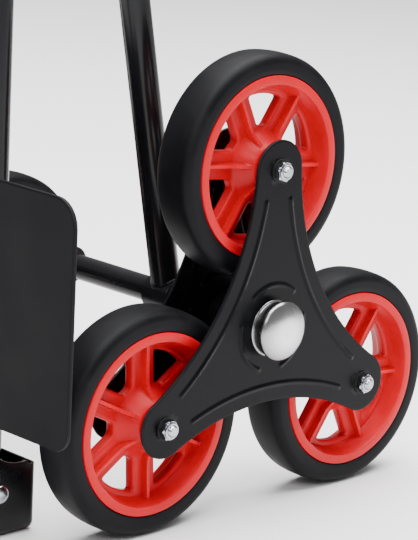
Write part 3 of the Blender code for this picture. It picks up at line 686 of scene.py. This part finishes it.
def hex_body(radius, low, high, chamfer, bore=0.0):
    """A hexagonal head whose corners are cut by a cone at both ends."""
    steps = 72
    apothem = radius * cos(pi / 6)
    verts = []
    levels = [(low, -chamfer), (low + chamfer * 0.6, 0.0), (high - chamfer * 0.6, 0.0),
              (high, -chamfer)]
    for z, cut in levels:
        for step in range(steps):
            heading = 360 * step / steps
            in_flat = (heading + 30) % 60 - 30
            flat_radius = apothem / cos(radians(in_flat))
            verts.append((*polar(min(flat_radius, radius + cut), heading), z))
    if bore:
        verts += [(x, y, z) for z in (high, low) for x, y in ring_points(bore, steps)]
        return verts, grid_faces(len(levels) + 2, steps, close_rows=True, close_columns=True)
    faces = grid_faces(len(levels), steps, close_columns=True)
    faces.append(list(range(steps))[::-1])
    faces.append(list(range(3 * steps, 4 * steps)))
    return verts, faces


def threaded(radius, low, high, pitch=1.25):
    """The threaded end of a bolt, as rings, with a chamfered point."""
    profile = [(0, high), (radius - 1.0, high), (radius - 0.2, high - 0.8)]
    z = high - 0.9
    while z > low + pitch:
        profile += [(radius, z - pitch * 0.25), (radius - 0.55, z - pitch * 0.75)]
        z -= pitch
    profile += [(radius - 0.1, low), (0, low)]
    return lathe(profile[::-1], 40)


def add_wheel(side, seat, tyre_mesh, rim_mesh):
    tag = seat + "_" + side
    body = "wheel_" + tag
    cluster = "cluster_" + side
    middle = centre_of("rim_" + tag)
    spot = at(*middle) @ outward(side)
    turned = spot @ Matrix.Rotation(radians(SPOKE_PHASE[seat]), 4, "Z")
    add_piece("tyre_look_" + tag, tyre_mesh, spot, RUBBER, body, "tyre_" + tag)
    add_piece("rim_look_" + tag, rim_mesh, turned, RED, body, "rim_" + tag)
    head, end = [reach - abs(middle.x) / MM for reach in x_ends("wheel_bolt_" + tag)]
    base, top = [reach - abs(middle.x) / MM for reach in x_ends("wheel_nut_" + tag)]
    shank = threaded(BOLT_RADIUS, 0.0, end)
    rear = lathe([(0, head + 0.2), (BOLT_RADIUS, head + 0.2), (BOLT_RADIUS, 0.4), (0, 0.4)], 40)
    bolt_head = hex_body(BOLT_HEAD, head, head + BOLT_HEAD_HEIGHT, 0.8)
    flange = lathe([(0, head + 5.3), (8.0, head + 5.3), (8.3, head + 4.9), (6.6, head + 4.0),
                    (0, head + 4.0)][::-1], 48)
    add_piece("wheel_bolt_look_" + tag, join_shapes([shank, rear, bolt_head, flange]), spot, ZINC,
              cluster, "wheel_bolt_" + tag)
    turn = Matrix.Rotation(radians(NUT_TURN + NUT_TURN_STEP * SEATS.index(seat)), 4, "Z")
    hex_top = base + NUT_SEAT + (top - base - NUT_SEAT) * NUT_HEX_SHARE
    nut = hex_body(NUT_RADIUS, base + NUT_SEAT, hex_top, 0.9, bore=4.2)
    collar = lathe([(6.1, hex_top), (6.0, top - 0.5), (5.4, top), (4.3, top),
                    (4.2, hex_top)][::-1], 56, closed=True)
    # The near-black washer under the nut stands in for the shade in a dark ring round it.
    washer = lathe([(8.4, base + 1.0), (8.6, base + 0.75), (8.6, base + 0.1),
                    (4.3, base + 0.1), (4.3, base + 1.0)], 56, closed=True)
    add_piece("wheel_nut_look_" + tag, join_shapes([nut, collar]), spot @ turn, ZINC, cluster,
              "wheel_nut_" + tag)
    add_piece("wheel_washer_shade_" + tag, washer, spot, WASHER_SHADE, cluster)


TYRE_MESH = make_mesh("tyre_shape", *tyre_shape())
RIM_MESH = make_mesh("rim_shape", *rim_shape())
for SIDE in SIDES:
    for SEAT in SEATS:
        add_wheel(SIDE, SEAT, TYRE_MESH, RIM_MESH)


# ---- star plates
AXLE = centre_of("axle_tube")
PITCH = (centre_of("rim_upper_right").z - AXLE.z) / MM
STAR_END = 21.5
STAR_WAIST = 54.0
STAR_HALF = size_of("star_plate_outer_right").x / 2
HOLLOW_REACH = PITCH ** 2 + STAR_WAIST ** 2 - PITCH * STAR_WAIST - STAR_END ** 2
HOLLOW = HOLLOW_REACH / (PITCH + 2 * (STAR_END - STAR_WAIST))
HOLLOW_FAR = STAR_WAIST + HOLLOW
RIB_INSET = 11.9
RIB_END = 91.5           # distance of a rib's ends from the hub
RIB_HALF = 2.5
RIB_RISE = 1.0
HUB_RIB_RADIUS = 31.0
HUB_RIB_SPAN = 39.0      # degrees each way from an arm
AXLE_HOLE = 9.8


def star_loop(inset, end_steps=26, side_steps=44):
    """The plate's outline: round arm ends joined by hollow sides, moved in by an inset."""
    rise = HOLLOW_FAR * sin(radians(60))
    run = HOLLOW_FAR * cos(radians(60)) - PITCH
    aim = degrees(atan2(rise, run))
    points = []
    for arm in ARM_ANGLES:
        points += arc(polar(PITCH, arm), STAR_END - inset, arm - aim, 2 * aim, end_steps)
        start = arm + aim + 180
        hollow = arc(polar(HOLLOW_FAR, arm + 60), HOLLOW + inset, start,
                     2 * (arm + 240 - start), side_steps)
        points += hollow[1:-1]
    return points


def rib_span():
    """Half the angle that a side rib covers, seen from its own centre."""
    radius = HOLLOW + RIB_INSET
    cosine = (radius ** 2 + HOLLOW_FAR ** 2 - RIB_END ** 2) / (2 * radius * HOLLOW_FAR)
    return degrees(acos(cosine))


SIDE_RIB = rib_span()


def arc_distance(x, y, centre, radius, middle, half_span):
    """Distance from an arc, round its ends too."""
    dx, dy = x - centre[0], y - centre[1]
    angle = (degrees(atan2(dy, dx)) - middle + 180) % 360 - 180
    if abs(angle) <= half_span:
        return abs(hypot(dx, dy) - radius)
    ex, ey = polar(radius, middle + copysign(half_span, angle))
    return hypot(dx - ex, dy - ey)


def ribs():
    """Each pressed rib as (centre, radius, middle angle, half span)."""
    found = []
    for arm in ARM_ANGLES:
        found.append((polar(HOLLOW_FAR, arm + 60), HOLLOW + RIB_INSET, arm + 240, SIDE_RIB))
        found.append(((0.0, 0.0), HUB_RIB_RADIUS, arm, HUB_RIB_SPAN))
    return found


RIBS = ribs()


def rib_rise(x, y):
    near = min(arc_distance(x, y, *rib) for rib in RIBS)
    return RIB_RISE * (1 - ease(near / RIB_HALF))


def rib_lines(centre, radius, middle, half_span):
    """Rows of points along a rib and round its two ends."""
    steps = 46 if radius > 100 else 30
    lines = []
    for offset in (0.0, 0.7, 1.3, 1.9, RIB_HALF, RIB_HALF + 0.8):
        for sign in (1, -1) if offset else (1,):
            lines.append(arc(centre, radius + sign * offset, middle - half_span, 2 * half_span,
                             steps))
    for end in (-1, 1):
        ex, ey = polar(radius, middle + end * half_span)
        for reach in (0.9, 1.7, RIB_HALF, RIB_HALF + 0.8):
            lines.append(arc((centre[0] + ex, centre[1] + ey), reach, middle + end * half_span,
                             end * 180, 12))
    return lines


def star_shape():
    outlines = [star_loop(inset) for inset in SHEET_EDGE]
    loops = outlines + [ring_points(AXLE_HOLE, 48), ring_points(AXLE_HOLE + 0.5, 48)]
    bolts = [polar(PITCH, arm) for arm in ARM_ANGLES]
    for bolt in bolts:
        loops.append(ring_points(BORE_RADIUS, 32, bolt))
        loops.append(ring_points(BORE_RADIUS + 8, 40, bolt))
    lines = [line for rib in RIBS for line in rib_lines(*rib)]
    grid = [(8.0 * i, 8.0 * j) for i in range(-18, 19) for j in range(-12, 19)]

    def in_star(x, y):
        if hypot(x, y) < AXLE_HOLE:
            return False
        near = min(hypot(x - cx, y - cy) for cx, cy in bolts)
        return near >= BORE_RADIUS and (near < STAR_END or inside(x, y, outlines[0]))

    fall = edge_falls(outlines, SHEET_FALL)
    return relief(loops, lines, [p for p in grid if in_star(*p)], in_star,
                  lambda x, y: STAR_HALF - fall(x, y) + rib_rise(x, y),
                  lambda x, y: -STAR_HALF + fall(x, y) + rib_rise(x, y))


STAR_MESH = make_mesh("star_shape", *star_shape())
for SIDE in SIDES:
    for LAYER in ("outer", "inner"):
        NODE = "star_plate_" + LAYER + "_" + SIDE
        FLIP = Matrix.Rotation(pi if LAYER == "inner" else 0.0, 4, "Y")
        add_piece("star_look_" + LAYER + "_" + SIDE, STAR_MESH,
                  at(centre_of(NODE).x, AXLE.y, AXLE.z) @ outward(SIDE) @ FLIP, PLATE_BLACK,
                  "cluster_" + SIDE, NODE)


# ---- axle, sleeves and hub caps
AXLE_SPOT = at(0, AXLE.y, AXLE.z)
AXLE_RADIUS = size_of("axle_tube").z / 2
AXLE_END = x_ends("axle_tube")[1]
BORE_CLEAR = 0.3
CAP_FLANGE = 9.0         # from a hub cap's foot to the edge of its dome
add_piece("axle_look", tube((-AXLE_END, 0, 0), (AXLE_END, 0, 0), AXLE_RADIUS), AXLE_SPOT,
          GLOSS_BLACK, "frame", "axle_tube")


def hub_cap_shape(base, top):
    """A polished push-on cap: flange, waisted neck and a low dome with a rolled edge."""
    face = base + CAP_FLANGE
    profile = [(0, base), (20.0, base), (20.3, base + 0.3), (20.0, base + 0.7),
               (19.3, base + 0.9), (19.0, base + 1.4), (18.9, base + 5.0), (19.1, face - 1.6),
               (19.6, face - 1.2), (20.9, face - 0.9), (21.45, face - 0.2), (21.5, face + 0.5)]
    rise = top - face - 0.8
    for step in range(1, 15):
        angle = radians(6 * step)
        profile.append((21.4 * cos(angle) ** 0.85, face + 0.8 + rise * sin(angle)))
    return lathe(profile + [(0, top)], 96)


def ring_on_axle(node, foot_edge, top_edge):
    """A ring round the axle with a broken edge at each end, in a node's place."""
    near, far = x_ends(node)
    radius = size_of(node).z / 2
    bore = AXLE_RADIUS + BORE_CLEAR
    return lathe([(bore, near), (radius - foot_edge, near), (radius, near + foot_edge)]
                 + top_edge(radius, far) + [(bore, far)], 64, closed=True)


for SIDE in SIDES:
    SPOT = AXLE_SPOT @ outward(SIDE)
    add_piece("hub_cap_look_" + SIDE, hub_cap_shape(*x_ends("hub_cap_" + SIDE)), SPOT, CHROME,
              "frame", "hub_cap_" + SIDE)
    SLEEVE = ring_on_axle("hub_sleeve_" + SIDE, 0.5,
                          lambda radius, far: [(radius, far - 0.5), (radius - 0.5, far)])
    add_piece("hub_sleeve_look_" + SIDE, SLEEVE, SPOT, GLOSS_BLACK, "cluster_" + SIDE,
              "hub_sleeve_" + SIDE)
    SPACER = ring_on_axle("axle_spacer_" + SIDE, 0.8, lambda radius, far: [
        (radius, far - 3.0), (radius, far - 0.6), (radius - 0.6, far)])
    add_piece("axle_spacer_look_" + SIDE, SPACER, SPOT, PLASTIC, "frame", "axle_spacer_" + SIDE)


# ---- frame tubes
TUBE = size_of("upright_right").x / 2
EYE = size_of("centre_stay").z / 2
EYE_HALF = 13.0
BAR = size_of("lower_cross_bar").z / 2
STRUT_LEAN = atan(0.2)
TRAY_SHEET = 2.5


def eye_shape():
    """The short tube round the axle at an arm's foot, its axis along x."""
    profile = [(AXLE_RADIUS + BORE_CLEAR, -EYE_HALF), (EYE - 0.6, -EYE_HALF),
               (EYE, -EYE_HALF + 0.6), (EYE, EYE_HALF - 0.6), (EYE - 0.6, EYE_HALF),
               (AXLE_RADIUS + BORE_CLEAR, EYE_HALF)]
    return moved(lathe(profile, 64, closed=True), outward("right"))


def arm_shape(direction, length, radius):
    """A tube that leaves an eye round the axle, with its weld."""
    along = Vector(direction).normalized()
    shaft = tube(along * (AXLE_RADIUS + 1.5), along * length, radius)
    return join_shapes([eye_shape(), shaft, weld_bead((0, 0, 0), along, (1, 0, 0), EYE, radius, 1.1)])


def add_frame_piece(name, shape, spot, node):
    add_piece(name, shape, spot, GLOSS_BLACK, "frame", node)


def add_uprights():
    for side in SIDES:
        node = "upright_" + side
        middle = centre_of(node)
        foot, top = (0, 0, TRAY_SHEET), (0, 0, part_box(node)[1].z / MM)
        shape = join_shapes([tube(foot, top, TUBE), foot_bead(foot, TUBE)])
        add_frame_piece("upright_look_" + side, shape, at(middle.x, middle.y, 0), node)


def add_cross_bars():
    reach = centre_of("upright_right").x / MM
    end = reach - TUBE + 1.0
    for node in ("lower_cross_bar", "upper_cross_bar"):
        shapes = [tube((-end, 0, 0), (end, 0, 0), BAR, edge=0.2)]
        for sign in (-1, 1):
            shapes.append(weld_bead((sign * reach, 0, 0), (-sign, 0, 0), (0, 0, 1), TUBE, BAR, 1.5))
        add_frame_piece(node + "_look", join_shapes(shapes), at(*centre_of(node)), node)


def add_centre_stay():
    length = (AXLE.y - centre_of("upright_right").y) / MM - BAR + 0.8
    arm = arm_shape((0, -1, 0), length, TUBE)
    far = weld_bead((0, -length - BAR + 0.8, 0), (0, 1, 0), (1, 0, 0), BAR, TUBE - 1.5, 1.5)
    add_frame_piece("centre_stay_look", join_shapes([arm, far]), AXLE_SPOT, "centre_stay")


def add_struts():
    for side in SIDES:
        node = "rear_strut_" + side
        rise = (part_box(node)[1].z - AXLE.z) / MM - TUBE * sin(STRUT_LEAN)
        shape = arm_shape((0, -sin(STRUT_LEAN), cos(STRUT_LEAN)),
                          rise / cos(STRUT_LEAN), TUBE)
        add_frame_piece("rear_strut_look_" + side, shape, at(centre_of(node).x, AXLE.y, AXLE.z), node)


def add_gussets():
    """Round-ended plates on the uprights, each with two short welds."""
    for side in SIDES:
        node = "strut_gusset_" + side
        middle = centre_of(node)
        thickness, run, depth = size_of(node).x, size_of(node).y / 2, size_of(node).z / 2
        corners = [(x, y, depth * 0.98) for x, y in ((-run, -depth), (run, -depth), (run, depth),
                                                     (-run, depth))]
        upright_y = (centre_of("upright_" + side).y - middle.y) / MM
        upright_y *= 1 if side == "right" else -1
        shapes = [sheet_shape(corners, thickness)]
        for offset in (-5.5, 5.5):
            path = [(upright_y + offset, -9 + 0.6 * i, -2.2) for i in range(31)]
            radii = [1.5 + 0.25 * sin(i * WELD_RIPPLE) for i in range(31)]
            shapes.append(sweep(path, radii, 10))
        add_frame_piece("gusset_look_" + side, join_shapes(shapes), at(*middle) @ outward(side), node)


def domed_pin(low, high, radius, head, rise):
    """A pin along z with a domed head beyond each end."""
    dome = [(0, rise)]
    for x, z in arc((0, 0), 1.0, 75, -75, 5):
        dome.append((head * x, rise * (0.25 + 0.75 * z)))
    profile = [(x, high + z) for x, z in dome] + [(head, high), (radius, high), (radius, low)]
    profile += [(head, low)] + [(x, low - z) for x, z in reversed(dome)]
    return lathe(profile[::-1], 48)


def add_pins():
    for side in SIDES:
        for stem, head, rise in (("strut_rivet_", 7.0, 3.0), ("toe_hinge_pin_", 6.6, 3.5)):
            near, far = x_ends(stem + side)
            middle = centre_of(stem + side)
            add_piece(stem + "look_" + side, domed_pin(near + rise, far - rise, 4.0, head, rise),
                      at(0, middle.y, middle.z) @ outward(side), ZINC, "frame", stem + side)


# ---- foot tray
TRAY_BEND = 6.0
# The side walls' top edge: millimetres forward of the tray's back, and height.
TRAY_TOP = [(0, 48.0), (7.0, 48.0), (8.1, 49.6), (9.3, 51.3), (11.0, 51.35), (13.2, 51.1),
            (15.5, 51.0), (18.5, 51.15), (21.5, 51.6), (24.5, 52.4), (27.5, 53.5), (30.5, 55.0),
            (33.5, 56.9), (36.7, 59.8), (38.4, 61.4), (40.5, 62.8), (43.0, 63.6), (46.0, 63.87),
            (49.0, 63.6), (52.0, 62.5), (54.8, 60.6), (57.3, 57.5), (59.0, 48.0), (61.0, 36.5),
            (63.0, 25.2), (64.0, 19.8), (65.4, 19.3), (76.0, 19.3)]


def tray_top(forward):
    for (f0, z0), (f1, z1) in zip(TRAY_TOP, TRAY_TOP[1:]):
        if forward <= f1:
            return z0 + (z1 - z0) * (forward - f0) / (f1 - f0)
    return TRAY_TOP[-1][1]


def tray_perimeter(half, depth):
    """Stations round the tray as (corner or wall point, outward normal), corners at bend radius."""
    r = TRAY_BEND
    stations = []
    cheek = [f for f, _ in TRAY_TOP if r < f < depth - r]
    for (a, _), (b, _) in zip(TRAY_TOP, TRAY_TOP[1:]):
        if r < a and b < depth - r:
            cheek.append((a + b) / 2)
    cheek = sorted(cheek)
    wall = [-half + r + (2 * half - 2 * r) * i / 12 for i in range(1, 12)]

    def corner(cx, cf, start):
        for normal in arc((0, 0), 1.0, start, 90, 8):
            stations.append(((cx, cf), normal, r))

    corner(half - r, r, -90)
    for f in cheek:
        stations.append(((half, f), (1, 0), 0))
    corner(half - r, depth - r, 0)
    for x in reversed(wall):
        stations.append(((x, depth), (0, 1), 0))
    corner(-half + r, depth - r, 90)
    for f in reversed(cheek):
        stations.append(((-half, f), (-1, 0), 0))
    corner(-half + r, r, 180)
    for x in wall:
        stations.append(((x, 0), (0, -1), 0))
    return stations


def tray_profile(top):
    """The wall's section as (inset, height), from the underside round the top and back inside."""
    r = TRAY_BEND
    levels = [r + (top - r) * part for part in (0.3, 0.6, 0.85)]
    points = arc((r, r), r, 270, -90, 6)
    points += [(0, z) for z in levels]
    points += [(0, top - 0.7), (0.2, top - 0.2), (0.7, top), (TRAY_SHEET - 0.7, top),
               (TRAY_SHEET - 0.2, top - 0.2), (TRAY_SHEET, top - 0.7)]
    points += [(TRAY_SHEET, z) for z in reversed(levels)]
    return points + arc((r, r), r - TRAY_SHEET, 180, 90, 6)


def add_tray():
    low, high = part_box("foot_tray")
    half = (high.x - low.x) / MM / 2
    depth = (high.y - low.y) / MM
    stations = tray_perimeter(half, depth)
    verts = []
    for (x, f), (nx, nf), radius in stations:
        section = tray_profile(tray_top(min(max(f + nf * radius, 0), depth)))
        for inset, z in section:
            reach = max(radius - inset, 0.15) if radius else -inset
            verts.append((x + nx * reach, -f - nf * reach, z))
    columns = len(section)
    faces = grid_faces(len(stations), columns, close_rows=True)
    faces.append([row * columns for row in range(len(stations))][::-1])
    faces.append([row * columns + columns - 1 for row in range(len(stations))])
    add_piece("foot_tray_look", (verts, [face[::-1] for face in faces]), at(0, high.y, 0),
              TRAY_BLACK, "frame", "foot_tray")


# ---- toe plate
TOE_SHEET = 3.0
TOE_TOP_RADIUS = 19.0
TOE_BOTTOM_RADIUS = 14.0
TOE_ROOT_RADIUS = 6.0
TOE_WING_BOTTOM = 82.9
TONGUE_HALF = 157.2
TONGUE_RADIUS = 2.5
EAR_RADIUS = 11.0
EAR_SHEET = 2.5
EAR_BORE = 4.4


def add_toe_plate():
    low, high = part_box("toe_plate")
    half = high.x / MM
    top = high.z / MM
    tail = low.z / MM + EAR_RADIUS - 6.0
    right = [(TONGUE_HALF, tail, TONGUE_RADIUS), (TONGUE_HALF, TOE_WING_BOTTOM, -TOE_ROOT_RADIUS),
             (half, TOE_WING_BOTTOM, TOE_BOTTOM_RADIUS), (half, top, TOE_TOP_RADIUS)]
    left = [(-x, z, radius) for x, z, radius in reversed(right)]
    plate = sheet_shape(right + left, TOE_SHEET, round_by=0.8)
    stand = Matrix.Rotation(pi / 2, 4, "X")
    shapes = [moved(plate, at(0, low.y / MM + TOE_SHEET / 2, 0) @ stand)]
    pin = centre_of("toe_hinge_pin_right") / MM
    back = low.y / MM + TOE_SHEET - pin.y - 0.5
    ear = [(back, -EAR_RADIUS + 2.5, 0.8), (EAR_RADIUS - 1, -EAR_RADIUS, 9.0),
           (EAR_RADIUS, EAR_RADIUS - 2, 8.0), (back, 2 * EAR_RADIUS, 1.0)]
    flange = sheet_shape(ear, EAR_SHEET, holes=[(0, 0, EAR_BORE)], round_by=0.5)
    for sign in (-1, 1):
        x = sign * (TONGUE_HALF - BORE_CLEAR - EAR_SHEET / 2)
        shapes.append(moved(flange, at(x, pin.y, pin.z) @ outward("right")))
    add_piece("toe_plate_look", join_shapes(shapes), Matrix.Identity(4), TOE_BLACK, "toe_plate",
              "toe_plate")


# ---- handle, collars and knobs
HANDLE_RADIUS = 9.0
HANDLE_BEND = 45.0
GRIP_ROUND = 3.0
KNOB_LOBES = 7


def add_handle():
    low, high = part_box("handle_loop")
    half = high.x / MM - HANDLE_RADIUS
    bend_x, bend_z = half - HANDLE_BEND, high.z / MM - HANDLE_RADIUS - HANDLE_BEND
    foot = low.z / MM
    flat = [(-half, foot + 0.1), (-half, foot + 1)]
    flat += arc((-bend_x, bend_z), HANDLE_BEND, 180, -90, 24)
    flat += arc((bend_x, bend_z), HANDLE_BEND, 90, -90, 24)
    flat += [(half, foot + 1), (half, foot + 0.1)]
    radii = [HANDLE_RADIUS - 0.6] + [HANDLE_RADIUS] * (len(flat) - 2) + [HANDLE_RADIUS - 0.6]
    add_piece("handle_loop_look", sweep([(x, 0, z) for x, z in flat], radii, 40),
              at(0, centre_of("handle_loop").y, 0), HANDLE_BLACK, "handle", "handle_loop")
    grip_half = size_of("handle_grip").x / 2
    outer = size_of("handle_grip").z / 2
    edge = outer - GRIP_ROUND
    bore = HANDLE_RADIUS + BORE_CLEAR
    profile = [(bore, -grip_half)] + arc((edge, GRIP_ROUND - grip_half), GRIP_ROUND, 270, 90, 6)
    profile += [(outer, -grip_half / 2), (outer, grip_half / 2)]
    profile += arc((edge, grip_half - GRIP_ROUND), GRIP_ROUND, 0, 90, 6) + [(bore, grip_half)]
    grip = add_piece("handle_grip_look", lathe(profile, 72, closed=True),
                     at(*centre_of("handle_grip")) @ outward("right"), FOAM, "handle",
                     "handle_grip")


def add_collar(side):
    node = "handle_collar_" + side
    low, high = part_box(node)
    middle = centre_of(node)
    outer = size_of(node).y / 2
    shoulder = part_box("upright_" + side)[1].z / MM + BORE_CLEAR
    bottom, top = low.z / MM, high.z / MM
    wide, narrow = TUBE + BORE_CLEAR, HANDLE_RADIUS + BORE_CLEAR
    profile = [(wide, bottom), (outer - 1.2, bottom), (outer - 0.3, bottom + 0.4),
               (outer, bottom + 1.2), (outer, bottom + 8), (outer - 0.8, bottom + 8.6),
               (outer - 0.8, bottom + 10.4), (outer, bottom + 11), (outer, top - 4),
               (outer - 0.6, top - 1.6), (outer - 2.2, top), (narrow, top),
               (narrow, shoulder), (wide, shoulder)]
    add_piece("handle_collar_look_" + side, lathe(profile, 72, closed=True),
              at(middle.x, middle.y, 0), PLASTIC, "frame", node)


def add_knob(side):
    node = "lock_knob_" + side
    near, far = x_ends(node)
    middle = centre_of(node)
    radius = size_of(node).z / 2
    collar = "handle_collar_" + side
    face = abs(centre_of(collar).x) / MM + size_of(collar).y / 2 + 0.4
    profile = [(0, far), (4.0, far), (4.6, far - 0.6), (7.6, far - 0.6),
               (radius * 0.82, far - 0.9), (radius * 0.95, far - 2.2), (radius, far - 4.2),
               (radius, face + 1.2), (radius - 1.0, face), (4.4, face), (0, face)]
    knob = lathe(profile[::-1], 96, lobes=KNOB_LOBES, lobe_depth=1.3)
    stem = lathe([(0, near), (2.9, near), (2.9, face + 1), (0, face + 1)], 24)
    add_piece("lock_knob_look_" + side, join_shapes([knob, stem]),
              at(0, middle.y, middle.z) @ outward(side), PLASTIC, "knob_" + side, node)


add_uprights()
add_cross_bars()
add_centre_stay()
add_struts()
add_gussets()
add_pins()
add_tray()
add_toe_plate()
add_handle()
for SIDE in SIDES:
    add_collar(SIDE)
    add_knob(SIDE)


# ---- floor, light and camera
FLOOR_REACH = 4.0
FLOOR_DROP = 0.0005      # keeps the floor clear of what stands on it
WORLD_STRENGTH = 0.42
CAMERA_AZIMUTH = radians(45.872)
CAMERA_ELEVATION = radians(13.907)
CAMERA_ROLL = radians(2.83)
CAMERA_LENS = 160.5
CAMERA_SENSOR = 36.0
CAMERA_FROM_AXLE = Vector((1.3655, -1.16712, 0.44278))


def add_floor():
    reach = FLOOR_REACH
    mesh = bpy.data.meshes.new("floor")
    corners = [(-reach, -reach, 0), (reach, -reach, 0), (reach, reach, 0), (-reach, reach, 0)]
    mesh.from_pydata(corners, [], [(0, 1, 2, 3)])
    floor = new_object("floor", mesh)
    floor.location.z = -FLOOR_DROP
    mesh.materials.append(floor_finish())


def add_light(name, place, target, size, power):
    data = bpy.data.lights.new(name, "AREA")
    data.shape = "RECTANGLE"
    data.size, data.size_y = size
    data.energy = power
    lamp = new_object(name, data)
    lamp.location = place
    lamp.rotation_euler = (Vector(target) - Vector(place)).to_track_quat("-Z", "Y").to_euler()


def add_camera():
    """The photograph's view: from the front right, a little above, tilted a few degrees."""
    level = cos(CAMERA_ELEVATION)
    back = Vector((sin(CAMERA_AZIMUTH) * level, -cos(CAMERA_AZIMUTH) * level,
                   sin(CAMERA_ELEVATION)))
    right = Vector((0, 0, 1)).cross(back).normalized()
    up = back.cross(right)
    turned_right = right * cos(CAMERA_ROLL) + up * sin(CAMERA_ROLL)
    turned_up = up * cos(CAMERA_ROLL) - right * sin(CAMERA_ROLL)
    data = bpy.data.cameras.new("camera")
    data.lens = CAMERA_LENS
    data.sensor_width = CAMERA_SENSOR
    camera = new_object("camera", data)
    view = Matrix((turned_right, turned_up, back)).transposed().to_4x4()
    view.translation = AXLE + CAMERA_FROM_AXLE
    camera.matrix_world = view
    bpy.context.scene.camera = camera


def add_surroundings():
    world = bpy.data.worlds.new("studio")
    world.use_nodes = True
    background = world.node_tree.nodes["Background"]
    background.inputs["Color"].default_value = (1, 1, 1, 1)
    background.inputs["Strength"].default_value = WORLD_STRENGTH
    bpy.context.scene.world = world
    add_light("key", (1.6, -1.7, 1.9), (0.1, 0, 0.2), (1.0, 1.0), 30)
    add_light("top", (0.0, 0.2, 2.6), (0.0, 0, 0.0), (3.0, 3.0), 330)


add_floor()
add_surroundings()
add_camera()
